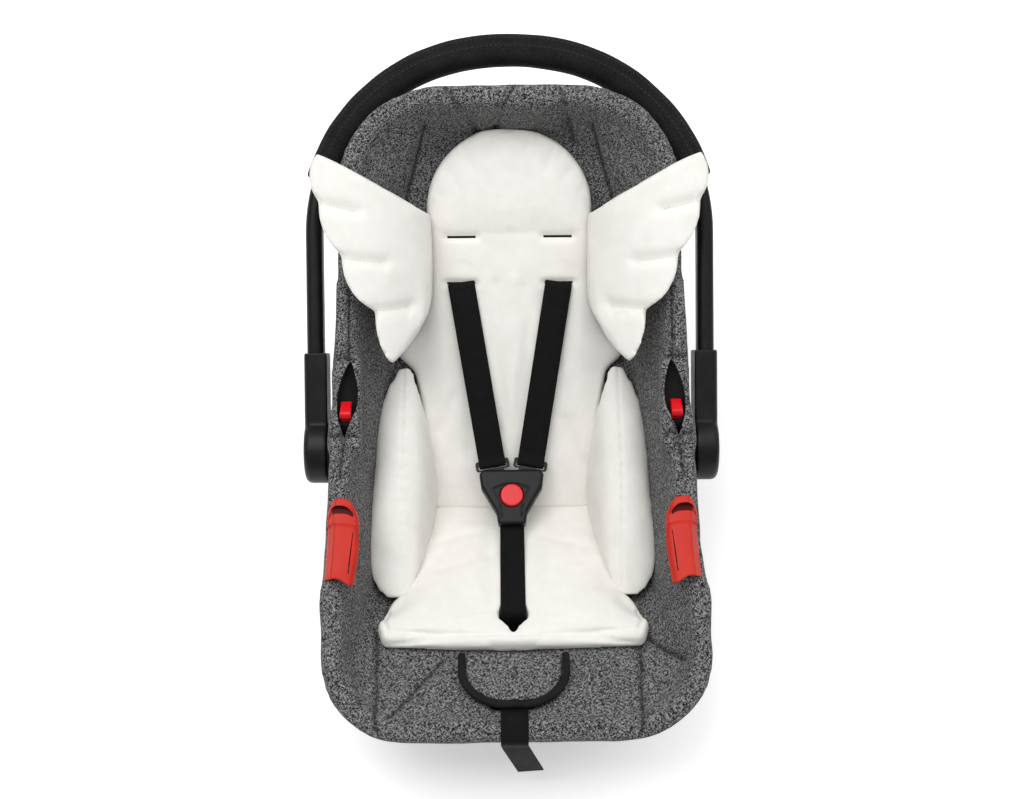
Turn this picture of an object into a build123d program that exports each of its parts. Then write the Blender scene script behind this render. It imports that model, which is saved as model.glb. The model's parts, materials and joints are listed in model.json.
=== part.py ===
from build123d import *
import os
from math import asin, atan2, cos, degrees, hypot, pi, radians, sin, sqrt, tan

os.makedirs("parts", exist_ok=True)

# Sizes are in millimetres and degrees. +X is the sitter's left, -Y the front, +Z up.

# Stance: hub axis above the floor, and the tilt of the bucket's own axis
HUB_Z = 172.0
TUB_TILT = 15.0

# Bucket in its own frame: s runs from the front lip to the head end, h is its height
FRONT_S = -308.0
HEAD_S = 356.0
FRONT_CORNER = 95.0
HEAD_CORNER = 85.0
WAIST_HALF = 183.0
FRONT_SWELL = 6.0
SWELL_AT = 200.0
HEAD_TAPER = 22.0
TAPER_AT = 300.0
FLOOR_SHARE_WAIST = 0.74
FLOOR_SHARE_FRONT = 0.86
FLOOR_SHARE_HEAD = 0.58
BIGHT_S = -50.0
BIGHT_H = -133.0
PAN_RISE = 34.8
BACK_RISE = 25.0
BIGHT_RADIUS = 80.0
RIM_H = 28.0
RIM_FRONT_RISE = 4.0
RIM_REAR_RISE = 16.6
RIM_RADIUS = 150.0
CORNER_RADIUS = 44.0
CORNER_FIT = 0.7
CROWN_FIT = 0.3
SHELL_WALL = 3.6
STATION_FRACTIONS = (
    0.003, 0.011, 0.035, 0.08, 0.15, 0.24, 0.31, 0.355, 0.40, 0.455, 0.505, 0.57, 0.68, 0.80, 0.89, 0.955, 0.989, 0.997,
)
TUB_HEADROOM = 70.0

# Cover
FIT_GAP = 0.4
LINING = 12.0
SKIRT = 7.0
ROLL = 13.0
HEM = 32.0
ROLL_ROUND = 6.5
SLIT_LENGTH = 88.0
SLIT_WIDTH = 22.0
SLIT_X = 174.5
SLIT_S = 40.0

# Insert pads
PAD = 20.0
PAD_ROUND = 8.0
PAD_HEM = 4.0
PAD_BACK_HALF = 91.0
PAD_NECK_L = 350.0
PAD_LOW_HALF = 83.5
PAD_TOP_L = 446.0
PAD_FLARE_L = 60.0
PAD_FLARE_HALF = 98.0
PAD_FLARE_TOP_L = 176.0
PAD_WING_GAP = 0.6
PAD_CORNER = 10.0
PAD_CREASE = 21.6
SEAT_FRONT_Q = 219.0
SEAT_SHOULDER_Q = 190.0
SEAT_SIDE_Q = 55.0
SEAT_SIDE_HALF = 108.0
SEAT_FLARE_Q = 148.0
SEAT_CORNER_IN = 8.0
SEAT_CORNER_BACK = 6.0
SEAT_CORNER_R = 10.0
SEAT_FRONT_HALF = 145.0
SLIT_WEB = 44.0
SLIT_WEB_THICK = 6.0
SLOT_L = 276.0
SLOT_UPPER_L = 327.0
SLOT_UPPER_X = 53.0
CROTCH_SLOT_Q = 180.0
CROTCH_SLOT_R = 13.0
CROTCH_SLOT_EASE = 3.0
CROTCH_TIP = 10.0
CROTCH_SLIT = 3.0

# Side bolsters
BOLSTER_S0 = -150.0
BOLSTER_S1 = 100.0
BOLSTER_INNER_X = 86.0
BOLSTER_RIDGE_X = 118.0
BOLSTER_RIDGE_H = -10.0
BOLSTER_END_DROP = 12.0
BOLSTER_EASE = 4.0

# Wings
WING = 13.0
WING_ROUND = 5.0
WING_REACH = 204.0
WING_LIFT = 7.0
WING_END = (130.0, 199.0)
WING_UNDER = (104.0, 228.0)
WING_LOW_L = 262.0
WING_SEAM_W = 3.0
WING_SEAM_D = 5.0

# Webbing
WEB_W = 30.0
WEB_T = 1.6
WEB_GAP = 0.5
WEB_BEND = 4.0
WEB_BEHIND = 6.0
WEB_LEAN = 1.2
YOKE_W = 110.0
YOKE_H = 30.0
YOKE_T = 3.0
STRAP_X = 54.0
STRAP_TAIL = 112.0
CROTCH_W = 27.0
ANCHOR_T = 4.0
PULL_W = 28.0
PULL_DROP = 84.0
PULL_SLEW = 8.0

# Buckle, on its own plane across the crease
BUCKLE_REST = 8.4
BUCKLE_LOW_Q = 30.0
BUCKLE_HIGH_L = 36.0
BUCKLE_BACK_T = 9.0
BUCKLE_SINK = 5.0
BUCKLE_SPRING = 2.5
BUCKLE_FRONT_T = 11.0
BUCKLE_FOOT_HALF = 17.0
BUCKLE_HEAD_HALF = 34.0
BUCKLE_FOOT_Y = -33.0
BUCKLE_HEAD_Y = 30.0
BUCKLE_ROUND = 4.0
BUCKLE_BUTTON_R = 12.7
BUCKLE_BUTTON_TRAVEL = 4.0
BUCKLE_BUTTON_PROUD = 2.0
BUCKLE_WELL = 9.0
BUTTON_GAP = 0.4
TONGUE_X = 20.0
TONGUE_W = 24.0
TONGUE_T = 3.0
TONGUE_IN = 12.0
TONGUE_HEAD_W = 38.0
TONGUE_BAR = 5.0
TONGUE_SLOT = 5.0
TONGUE_NECK = 3.0
TONGUE_STEP = 2.0
BUCKLE_WALL = 3.0
CROTCH_IN = 12.0

# Adjuster under the flap
ADJUSTER_Q = 252.0
ADJUSTER_LEN = 46.0
ADJUSTER_W = 44.0
ADJUSTER_H = 17.0
ADJUSTER_WALL = 4.0
ADJUSTER_BASE = 3.0
ADJUSTER_PIN_R = 2.5
LEVER_T = 4.0
LEVER_SWING_GAP = 0.5
COVER_WINDOW = 4.0
COVER_WINDOW_FRONT = 14.0

# Flap
FLAP_Q0 = 227.0
FLAP_Q1 = 296.0
FLAP_HALF = 58.0
FLAP_BLUNT = 0.75
FLAP_T = 4.0
BINDING = 8.0
BINDING_T = 6.0

# Handle
HANDLE_TILT = 58.0
LEG_X = 210.5
LEG_W = 18.0
LEG_D = 28.0
LEG_ROUND = 8.0
CORNER_R = 195.0
ARCH_R = 290.0
ARCH_TOP = 430.0
SLEEVE_IN = 17.0
SLEEVE_OUT = 18.5
SLEEVE_ROUND = 15.0
SLEEVE_START = 17.0
SLEEVE_GAP = 0.3

# Hubs
BOSS_R = 31.0
BOSS_FACE = 190.0
HUB_PLATE = 7.0
HUB_GAP = 0.4
HUB_R = 35.0
HUB_ROUND = 7.0
SOCKET_FACE = 222.5
SOCKET_D = 40.0
SOCKET_TOP = 106.0
SOCKET_SEAT = 46.0
SOCKET_ROUND = 8.0
GEAR_ROOT = 16.5
GEAR_TIP = 20.0
GEAR_TEETH = 12
GEAR_T = 6.0
GEAR_CLEAR = 0.4
GEAR_TRAVEL = 4.0
COLLAR_R = 8.0
COLLAR_TAIL = 10.0
BOLT_R = 4.0
BOLT_HEAD_R = 7.0
BOLT_HEAD_T = 5.0
BOLT_IN_SOCKET = 5.0
BOLT_CLEAR = 0.1
SPRING_WIRE = 1.4
SPRING_R = 11.5

# Release buttons
PILLAR_X0 = 166.0
PILLAR_W = 26.0
PILLAR_Z = 49.5
BUTTON_AIM_S = 39.6
BUTTON_AIM_H = 58.8
BUTTON_W = 12.0
BUTTON_L = 21.0
BUTTON_CAP = 7.0
BUTTON_ROUND = 2.5
BUTTON_TRAVEL = 6.0
STEM_X0 = 170.4
STEM_W = 10.4
STEM_L = 15.4
STEM_FOOT = 15.5
STEM_GAP = 0.3

# Belt guides
GUIDE_S0 = -160.0
GUIDE_S1 = -74.0
GUIDE_T = 4.0
GUIDE_GAP = 1.0
GUIDE_SEAT = 0.3
GUIDE_OVER = 8.0
GUIDE_REACH = 29.0
GUIDE_LIP = 7.0
GUIDE_FOOT = 66.0
GUIDE_ROUND = 15.0
HOOD_LEN = 20.0
HOOD_RISE = 5.0

# Rear belt guide
REAR_GUIDE_L = 318.0
REAR_GUIDE_W = 90.0
REAR_GUIDE_H = 58.0
REAR_GUIDE_OUT = 30.0
REAR_GUIDE_T = 5.0

# Runners
RUNNER_X = 102.0
RUNNER_W = 18.0
RUNNER_FLAT_FRONT = -95.0
RUNNER_FLAT_REAR = 95.0
RUNNER_FRONT_Y = -185.0
RUNNER_FRONT_Z = 34.0
RUNNER_REAR_Y = 190.0
RUNNER_REAR_Z = 40.0
RUNNER_HEEL = 62.0
RUNNER_SEAT = 0.2
RUNNER_SCREW = 10.0

# Small fasteners
SCREW_R = 1.9
SCREW_HEAD_R = 3.6
SCREW_HEAD_T = 2.2
SCREW_CLEAR = 0.1

ORIGIN = Vector(0, 0, HUB_Z)
AXIS_S = Vector(0, cos(radians(TUB_TILT)), sin(radians(TUB_TILT)))
AXIS_H = Vector(0, -sin(radians(TUB_TILT)), cos(radians(TUB_TILT)))
AXIS_X = Vector(1, 0, 0)

FLOOR = (BIGHT_S, BIGHT_H, PAN_RISE, BACK_RISE, BIGHT_RADIUS)
RIM = (0.0, RIM_H, RIM_FRONT_RISE, RIM_REAR_RISE, RIM_RADIUS)
COVER_IN = SHELL_WALL + FIT_GAP + LINING
PAD_IN = COVER_IN + FIT_GAP
PAD_TOP = PAD_IN + PAD


def tub(s, h, x=0.0):
    """Point of the bucket frame in the part's frame."""
    return ORIGIN + AXIS_S * s + AXIS_H * h + AXIS_X * x


SIDE = Plane(origin=ORIGIN, x_dir=AXIS_S, z_dir=AXIS_X)
BACK_LEAN = radians(TUB_TILT + BACK_RISE)
PAN_LEAN = radians(PAN_RISE - TUB_TILT)
BACK_N = Vector(0, -sin(BACK_LEAN), cos(BACK_LEAN))
PAN_N = Vector(0, sin(PAN_LEAN), cos(PAN_LEAN))
BACK = Plane(origin=tub(BIGHT_S, BIGHT_H), x_dir=AXIS_X, z_dir=BACK_N)
PAN = Plane(origin=tub(BIGHT_S, BIGHT_H), x_dir=-AXIS_X, z_dir=PAN_N)
TILT = radians(HANDLE_TILT)
HANDLE = Plane(origin=ORIGIN, x_dir=AXIS_X, z_dir=(0, -cos(TILT), sin(TILT)))
HALF_TURN = radians((PAN_RISE + BACK_RISE) / 2)
CREASE = PAD_TOP * tan(HALF_TURN)


def vee_arc(vee, inset):
    """Centre and radius of the arc that rounds a vee, moved in by inset."""
    s0, h0, fall, rise, radius = vee
    front, rear = radians(fall), radians(rise)
    cs = s0 + radius * (1 / cos(front) - 1 / cos(rear)) / (tan(front) + tan(rear))
    ch = h0 + (cs - s0) * tan(rear) + radius / cos(rear)
    return cs, ch, radius - inset


def vee_height(vee, s, inset=0.0):
    """Height of a rounded vee at s, moved in by inset square to itself."""
    s0, h0, fall, rise, _ = vee
    front, rear = radians(fall), radians(rise)
    cs, ch, r = vee_arc(vee, inset)
    if s < cs - r * sin(front):
        return h0 + (s0 - s) * tan(front) + inset / cos(front)
    if s > cs + r * sin(rear):
        return h0 + (s - s0) * tan(rear) + inset / cos(rear)
    return ch - sqrt(r * r - (s - cs) ** 2)


def vee_line(vee, inset, front_s, rear_s):
    """Line, arc and line along a rounded vee, from front_s to rear_s."""
    cs, ch, r = vee_arc(vee, inset)
    front, rear = radians(vee[2]), radians(vee[3])
    a = (cs - r * sin(front), ch - r * cos(front))
    b = (cs + r * sin(rear), ch - r * cos(rear))
    mid = (rear - front) / 2
    low = (cs + r * sin(mid), ch - r * cos(mid))
    start = (front_s, vee_height(vee, front_s, inset))
    end = (rear_s, vee_height(vee, rear_s, inset))
    return [Line(start, a), ThreePointArc(a, low, b), Line(b, end)]


def below_rim(lift):
    """Everything below the rim line, moved up by lift."""
    front_s, rear_s = FRONT_S * 2, HEAD_S * 2
    line = vee_line(RIM, 0, front_s, rear_s)
    deep = BIGHT_H * 3
    start, end = line[0] @ 0, line[-1] @ 1
    edges = line + [Polyline(end, (rear_s, deep), (front_s, deep), start)]
    face = Pos(0, lift, 0) * make_face(edges)
    return extrude(SIDE * face, amount=SOCKET_FACE * 2, both=True)


def rim_half(s, inset):
    """Half width of the bucket at its rim, moved in by inset."""
    if s < 0:
        wide = WAIST_HALF + FRONT_SWELL * (s / SWELL_AT) ** 2
    else:
        wide = WAIST_HALF - HEAD_TAPER * (s / TAPER_AT) ** 2
    front_c, head_c = FRONT_S + FRONT_CORNER, HEAD_S - HEAD_CORNER
    if s < front_c:
        return wide - FRONT_CORNER + sqrt(max((FRONT_CORNER - inset) ** 2 - (s - front_c) ** 2, 0))
    if s > head_c:
        return wide - HEAD_CORNER + sqrt(max((HEAD_CORNER - inset) ** 2 - (s - head_c) ** 2, 0))
    return wide - inset


def floor_share(s):
    """Share of the rim's width that the floor has."""
    if s < 0:
        return FLOOR_SHARE_WAIST + (FLOOR_SHARE_FRONT - FLOOR_SHARE_WAIST) * s / FRONT_S
    return FLOOR_SHARE_WAIST + (FLOOR_SHARE_HEAD - FLOOR_SHARE_WAIST) * s / HEAD_S


def wall_slope(s):
    """Sideways run of the side wall for each millimetre of height."""
    return rim_half(s, 0) * (1 - floor_share(s)) / (rim_depth(s) + TUB_HEADROOM / 2)


def rim_depth(s):
    """Height of the rim above the floor."""
    return vee_height(RIM, s) - vee_height(FLOOR, s)


def wall_x(s, h, inset):
    """Half width of the bucket at height h, moved in by inset."""
    return rim_half(s, inset) + (h - vee_height(RIM, s)) * wall_slope(s)


def section(s, inset, top, crown=0.0, flare=0.0):
    """Cross-section of the bucket up to top above the rim, with a crowned top or a flared mouth."""
    low, high = vee_height(FLOOR, s, inset), vee_height(RIM, s) + top
    foot, head = wall_x(s, low, inset), wall_x(s, high, inset)
    half = [(foot, low), (head, high)]
    if flare:
        half += [(head + 2 * flare, high), (head + 2 * flare, high + TUB_HEADROOM)]
    left = [(-x, y) for x, y in reversed(half)]
    face = make_face(Polyline(*half, *left, close=True))
    corners = face.vertices().sort_by(Axis.Y)
    face = fillet(corners[:2], min(CORNER_RADIUS - inset, (high - low) * CORNER_FIT))
    if crown or flare:
        corners = [v for v in face.vertices() if abs(v.Y - high) < 0.01 and abs(abs(v.X) - head) < 0.01]
        face = fillet(corners, min(crown or flare, (high - low) * CROWN_FIT))
    return Plane(origin=tub(s, 0), x_dir=AXIS_X, z_dir=-AXIS_S) * face


def plug(inset, top, crown=0.0, flare=0.0):
    """The bucket's inner space as a solid, moved in by inset."""
    start, end = FRONT_S + inset, HEAD_S - inset
    places = [start] + [start + f * (end - start) for f in STATION_FRACTIONS] + [end]
    faces = []
    for s in places:
        edge = min(s - start, end - s, crown)
        sag = crown - sqrt(crown**2 - (crown - edge) ** 2)
        faces.append(section(s, inset, top - sag, crown, flare))
    return loft(faces)


def both(shape):
    """A right-hand shape and its mirror image."""
    return shape, mirror(shape, Plane.YZ)


def along_x(radius, x0, x1, at=(0.0, 0.0)):
    """Cylinder along X between two places, at a point of the bucket frame."""
    centre = tub(at[0], at[1], x0)
    return extrude(Plane(origin=centre, x_dir=AXIS_S, z_dir=AXIS_X) * Circle(radius), amount=x1 - x0)


def block(plane, x0, x1, y0, y1, z0, z1):
    """Box on a plane between three pairs of places."""
    face = Pos((x0 + x1) / 2, (y0 + y1) / 2, z0) * Rectangle(abs(x1 - x0), abs(y1 - y0))
    return extrude(plane * face, amount=z1 - z0, dir=plane.z_dir)


def screw(plane, x, y, z, length):
    """Screw with its head on z and its shank towards minus z."""
    head = extrude(plane * (Pos(x, y, z) * Circle(SCREW_HEAD_R)), amount=SCREW_HEAD_T, dir=plane.z_dir)
    shank = extrude(plane * (Pos(x, y, z) * Circle(SCREW_R)), amount=length, dir=-plane.z_dir)
    return head + shank


def screw_hole(plane, x, y, z, length):
    """Hole for a screw, with the screw's clearance."""
    face = plane * (Pos(x, y, z) * Circle(SCREW_R + SCREW_CLEAR))
    return extrude(face, amount=length + SCREW_CLEAR, dir=-plane.z_dir)


def band(plane, points, radii, width):
    """Strip of webbing along a line with rounded corners."""
    path = FilletPolyline(*points, radius=radii)
    return extrude(plane * trace(path, line_width=WEB_T), amount=width / 2, both=True)


# Hub frames
PILLAR_LEN = hypot(BUTTON_AIM_S, BUTTON_AIM_H)
PRESS = (AXIS_S * BUTTON_AIM_S + AXIS_H * BUTTON_AIM_H) / PILLAR_LEN
PRESS_SIDE = PRESS.cross(AXIS_X)
PILLAR = Plane(origin=ORIGIN, x_dir=AXIS_X, z_dir=PRESS)
PLATE_FACE = BOSS_FACE + HUB_PLATE
SOCKET_IN = PLATE_FACE + HUB_GAP
GEAR_X0 = SOCKET_IN + HUB_GAP
GEAR_X1 = GEAR_X0 + GEAR_T
COLLAR_END = BOSS_FACE - COLLAR_TAIL + GEAR_TRAVEL + 2 * HUB_GAP
POCKET_END = GEAR_X1 + GEAR_TRAVEL + HUB_GAP + SPRING_WIRE * 3
HUB_SCREW_R = (GEAR_TIP + BOSS_R) / 2
HUB_SCREW_TURNS = (100, 200, 330)
PILLAR_X1 = BOSS_FACE


def hub_plane(x):
    """Plane square to the hub axis at x, facing outwards."""
    return Plane(origin=ORIGIN + AXIS_X * x, x_dir=AXIS_S, z_dir=AXIS_X)


def gear_face(root, tip, widen):
    """Toothed outline, with its teeth widened on each side."""
    points = []
    for tooth in range(GEAR_TEETH):
        turn = 2 * pi * tooth / GEAR_TEETH
        wide = pi / GEAR_TEETH / 2
        for radius, side in ((root, -1.2), (tip, -0.7), (tip, 0.7), (root, 1.2)):
            angle = turn + side * wide + (1 if side > 0 else -1) * widen / radius
            points.append((radius * cos(angle), radius * sin(angle)))
    return make_face(Polyline(*points, close=True))


def hub_screws_at(x):
    """Places of a hub plate's screws."""
    plane = hub_plane(x)
    return [(plane, HUB_SCREW_R * cos(radians(t)), HUB_SCREW_R * sin(radians(t))) for t in HUB_SCREW_TURNS]


HUB_SCREW_LEN = HUB_PLATE + 8.0
HUB_SCREW_SINK = SCREW_HEAD_T + HUB_GAP

# Shell
inner = plug(SHELL_WALL, TUB_HEADROOM + 40)
outer = plug(0, TUB_HEADROOM)
walls = (outer - inner) & below_rim(0)
pillar = block(PILLAR, PILLAR_X0, PILLAR_X1, -PILLAR_W / 2, PILLAR_W / 2, 0, PILLAR_Z)
boss = along_x(BOSS_R, PILLAR_X0 - 20, BOSS_FACE) & below_rim(0)
mount = (boss - inner) + pillar
well = block(
    PILLAR, STEM_X0 - STEM_GAP, STEM_X0 + STEM_W + STEM_GAP, -STEM_L / 2 - STEM_GAP, STEM_L / 2 + STEM_GAP,
    STEM_FOOT - BUTTON_TRAVEL - STEM_GAP, PILLAR_Z + 1,
)
mount -= well
STEM_MID = STEM_X0 + STEM_W / 2
button_room = block(
    PILLAR, STEM_MID - BUTTON_W / 2 - BUTTON_GAP, STEM_MID + BUTTON_W / 2 + BUTTON_GAP,
    -BUTTON_L / 2 - BUTTON_GAP, BUTTON_L / 2 + BUTTON_GAP, PILLAR_Z, PILLAR_Z + TUB_HEADROOM,
)
mount -= along_x(BOLT_R + BOLT_CLEAR, PILLAR_X0 - 30, BOSS_FACE + 1)
mount -= along_x(COLLAR_R + GEAR_CLEAR, COLLAR_END - HUB_GAP, BOSS_FACE + 1)
HEAD_X = PILLAR_X0 + BOLT_HEAD_T + 2.0
mount -= along_x(BOLT_HEAD_R + BOLT_CLEAR, PILLAR_X0 - 30, HEAD_X)
for plane, x, y in hub_screws_at(PLATE_FACE):
    mount -= screw_hole(plane, x, y, 0, HUB_SCREW_LEN)
right_mount, left_mount = both(mount)
well_room = along_x(BOLT_HEAD_R + BOLT_CLEAR, PILLAR_X0 - 30, HEAD_X) + well + button_room
for cut in both(well_room + along_x(BOLT_R + BOLT_CLEAR, PILLAR_X0 - 30, BOSS_FACE + 1)):
    walls -= cut
shell = walls + right_mount + left_mount

# Slots through the back and the pan, shared by shell, cover and pads
BACK_THROUGH = PAD_TOP + 30


def back_slot(x, y, width, thick, turn=0.0):
    """Slot cutter through the back."""
    face = Pos(x, y, -BACK_THROUGH / 2) * Rot(0, 0, turn) * RectangleRounded(width, thick, thick * 0.4)
    return extrude(BACK * face, amount=BACK_THROUGH * 1.6, dir=BACK_N)


slots = []
for side in (-1, 1):
    slots.append(back_slot(side * STRAP_X, SLOT_L, SLIT_WEB, SLIT_WEB_THICK + 2 * WEB_BEND))
    slots.append(back_slot(side * SLOT_UPPER_X, SLOT_UPPER_L, SLIT_WEB, SLIT_WEB_THICK))
crotch_cut = extrude(
    PAN * (Pos(0, CROTCH_SLOT_Q, -BACK_THROUGH / 2) * RectangleRounded(CROTCH_W + 6, SLIT_WEB_THICK + 8, 4)),
    amount=BACK_THROUGH * 1.6, dir=PAN_N,
)
ADJUSTER_Q0 = ADJUSTER_Q - ADJUSTER_LEN / 2
ADJUSTER_Q1 = ADJUSTER_Q + ADJUSTER_LEN / 2
ENTRY_Q = ADJUSTER_Q0 + ADJUSTER_WALL + 6.0
entry_cut = extrude(
    PAN * (Pos(0, ENTRY_Q, -BACK_THROUGH / 2) * RectangleRounded(PULL_W + 6, SLIT_WEB_THICK + 4, 3)),
    amount=BACK_THROUGH * 0.5 + SHELL_WALL + 8, dir=PAN_N,
)
for cut in slots + [crotch_cut, entry_cut]:
    shell -= cut

# Cover
raised = plug(-SKIRT, ROLL, crown=ROLL_ROUND)
cavity = plug(COVER_IN, ROLL + 0.05, flare=ROLL_ROUND)
shell_room = plug(-FIT_GAP, TUB_HEADROOM) & below_rim(FIT_GAP)
under_hem = plug(-SKIRT - 3, TUB_HEADROOM) & below_rim(-HEM)
lining = plug(SHELL_WALL + FIT_GAP, TUB_HEADROOM + 30)
cover = raised - cavity
cover -= (shell_room + under_hem) - lining
pillar_room = block(
    PILLAR, PILLAR_X0 - FIT_GAP, PILLAR_X1 + SKIRT * 2, -PILLAR_W / 2 - FIT_GAP, PILLAR_W / 2 + FIT_GAP,
    0, PILLAR_Z + FIT_GAP,
)
hub_room = along_x(HUB_R + 3, PILLAR_X0 + 6, SOCKET_FACE)
hub_room += along_x(BOLT_HEAD_R + FIT_GAP, PILLAR_X0 - FIT_GAP, PILLAR_X0 + 8)
slit_face = make_face(
    [
        ThreePointArc((0, SLIT_LENGTH / 2), (SLIT_WIDTH / 2, 0), (0, -SLIT_LENGTH / 2)),
        ThreePointArc((0, -SLIT_LENGTH / 2), (-SLIT_WIDTH / 2, 0), (0, SLIT_LENGTH / 2)),
    ]
)
slit_h = vee_height(RIM, SLIT_S)
slit_n = AXIS_H * cos(radians(RIM_REAR_RISE)) - AXIS_S * sin(radians(RIM_REAR_RISE))
slit_plane = Plane(origin=tub(SLIT_S, slit_h, SLIT_X), x_dir=AXIS_X, z_dir=slit_n)
slit = extrude(slit_plane * slit_face, amount=TUB_HEADROOM)
rim_cut = pillar_room + slit + button_room
for cut in both(rim_cut):
    cover -= cut
for cut in both(hub_room):
    cover -= cut
for cut in slots + [crotch_cut]:
    cover -= cut
window = block(
    PAN, -ADJUSTER_W / 2 - COVER_WINDOW, ADJUSTER_W / 2 + COVER_WINDOW, ADJUSTER_Q0 - COVER_WINDOW,
    ADJUSTER_Q1 + COVER_WINDOW_FRONT, -5, COVER_IN + 5,
)
cover -= window

nodes = {"seat_cover": cover}
shell_cuts = []


def pan_sh(q, off):
    """Place on the pan, q forward of the bight and off above the shell, in the bucket frame."""
    a = radians(PAN_RISE)
    return BIGHT_S - q * cos(a) + off * sin(a), BIGHT_H + q * sin(a) + off * cos(a)


def back_sh(y, off):
    """Place on the back, y up from the bight and off above the shell, in the bucket frame."""
    a = radians(BACK_RISE)
    return BIGHT_S + y * cos(a) - off * sin(a), BIGHT_H + y * sin(a) + off * cos(a)


def to_sh(point):
    """Bucket-frame place of a point of the part."""
    arm = point - ORIGIN
    return arm.dot(AXIS_S), arm.dot(AXIS_H)


# Insert pads
pad_room = plug(PAD_IN, TUB_HEADROOM)


def crowned(plane, face, low, high, top_round, hem_round):
    """Pad over a flat outline, with a crowned top edge and a drawn-in lower edge, sharp along the crease."""
    pad = extrude(plane * (Pos(0, 0, low) * face), amount=high - low, dir=plane.z_dir)
    middle = (low + high) / 2
    rims = [e for e in pad.edges() if plane.to_local_coords(e).bounding_box().size.Z < 0.01]
    upper = [e for e in rims if plane.to_local_coords(e).center().Z > middle]
    pad = fillet([e for e in upper if plane.to_local_coords(e).center().Y > PAD_CREASE + top_round / 2], top_round)
    rims = [e for e in pad.edges() if plane.to_local_coords(e).bounding_box().size.Z < 0.01]
    lower = [e for e in rims if abs(plane.to_local_coords(e).center().Z - low) < 0.01]
    return fillet([e for e in lower if plane.to_local_coords(e).center().Y > PAD_CREASE + hem_round / 2], hem_round)


crown_x, crown_y = PAD_BACK_HALF * 0.74, PAD_NECK_L + (PAD_TOP_L - PAD_NECK_L) * 0.7
back_half = [
    (PAD_LOW_HALF, PAD_CREASE), (PAD_LOW_HALF, PAD_FLARE_L), (PAD_FLARE_HALF, PAD_FLARE_TOP_L),
    (WING_END[0] - PAD_WING_GAP, WING_END[1] - PAD_WING_GAP),
]
wing_foot = (WING_UNDER[0] - PAD_WING_GAP, WING_UNDER[1] - PAD_WING_GAP)
wing_root = (PAD_BACK_HALF, WING_LOW_L)


def mirrored(points):
    """The points on the other side, in the opposite order."""
    return [(-x, y) for x, y in reversed(points)]


back_face = make_face(
    [
        Polyline(*mirrored(back_half), *back_half),
        ThreePointArc(back_half[-1], wing_foot, wing_root),
        Line(wing_root, (PAD_BACK_HALF, PAD_NECK_L)),
        ThreePointArc((PAD_BACK_HALF, PAD_NECK_L), (crown_x, crown_y), (0, PAD_TOP_L)),
        ThreePointArc((0, PAD_TOP_L), (-crown_x, crown_y), (-PAD_BACK_HALF, PAD_NECK_L)),
        Line((-PAD_BACK_HALF, PAD_NECK_L), (-wing_root[0], wing_root[1])),
        ThreePointArc((-wing_root[0], wing_root[1]), (-wing_foot[0], wing_foot[1]), mirrored(back_half)[0]),
    ]
)
bends = [v for v in back_face.vertices() if PAD_CREASE + 1 < v.Y < PAD_NECK_L - 1]
back_face = fillet(bends, PAD_CORNER)
insert_back = crowned(BACK, back_face, PAD_IN, PAD_TOP, PAD_ROUND, PAD_HEM) & pad_room
for cut in slots:
    insert_back -= cut
seat_half = [
    (PAD_LOW_HALF, PAD_CREASE), (PAD_LOW_HALF, SEAT_SIDE_Q), (SEAT_SIDE_HALF, SEAT_FLARE_Q),
    (SEAT_FRONT_HALF, SEAT_SHOULDER_Q), (SEAT_FRONT_HALF - SEAT_CORNER_IN, SEAT_FRONT_Q - SEAT_CORNER_BACK),
    (0, SEAT_FRONT_Q),
]
seat_left = mirrored(seat_half[:-1])
seat_face = make_face(Polyline(*seat_half, *seat_left, close=True))
knees = [v for v in seat_face.vertices() if abs(v.X) > SEAT_FRONT_HALF - SEAT_CORNER_IN - 1]
seat_face = fillet(knees, SEAT_CORNER_R)
insert_seat = crowned(PAN, seat_face, PAD_IN, PAD_TOP, PAD_ROUND, PAD_HEM) & pad_room
tear = Pos(0, CROTCH_SLOT_Q) * Circle(CROTCH_SLOT_R + CROTCH_SLOT_EASE)
tear_half = CROTCH_SLOT_R + CROTCH_SLOT_EASE
tear += make_face(
    Polyline((-tear_half, CROTCH_SLOT_Q), (tear_half, CROTCH_SLOT_Q), (0, SEAT_FRONT_Q - CROTCH_TIP), close=True)
)
tear += Pos(0, (CROTCH_SLOT_Q + SEAT_FRONT_Q + 5) / 2) * Rectangle(CROTCH_SLIT, SEAT_FRONT_Q + 5 - CROTCH_SLOT_Q)
insert_seat -= extrude(PAN * tear, amount=BACK_THROUGH, dir=PAN_N)
nodes["insert_back"] = insert_back
nodes["insert_seat"] = insert_seat

# Side bolsters
bolster_faces = []
for t in (0.0, 0.16, 0.5, 0.84, 1.0):
    s = BOLSTER_S0 + t * (BOLSTER_S1 - BOLSTER_S0)
    swell = sin(pi * (0.09 + 0.82 * t))
    base = vee_height(FLOOR, s, PAD_IN + FIT_GAP)
    ridge = BOLSTER_RIDGE_H - BOLSTER_END_DROP * (1 - swell)
    low = ridge - (ridge - base) * swell
    in_x = BOLSTER_RIDGE_X - (BOLSTER_RIDGE_X - BOLSTER_INNER_X) * swell
    out_x = BOLSTER_RIDGE_X + (wall_x(s, low, PAD_IN + BOLSTER_EASE) - BOLSTER_RIDGE_X) * swell
    mid_x = BOLSTER_RIDGE_X + (wall_x(s, (low + ridge) / 2, PAD_IN + BOLSTER_EASE) - BOLSTER_RIDGE_X) * swell
    puff = 0.14 * (ridge - low)
    face = make_face(
        [
            ThreePointArc((in_x, low), ((in_x + BOLSTER_RIDGE_X) / 2 - puff, (low + ridge) / 2 + puff * 0.5),
                          (BOLSTER_RIDGE_X, ridge)),
            ThreePointArc((BOLSTER_RIDGE_X, ridge), (mid_x, (low + ridge) / 2),
                          (out_x, low)),
            Line((out_x, low), (in_x, low)),
        ]
    )
    bolster_faces.append(Plane(origin=tub(s, 0), x_dir=AXIS_X, z_dir=-AXIS_S) * face)
bolster = loft(bolster_faces) & pad_room
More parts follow.
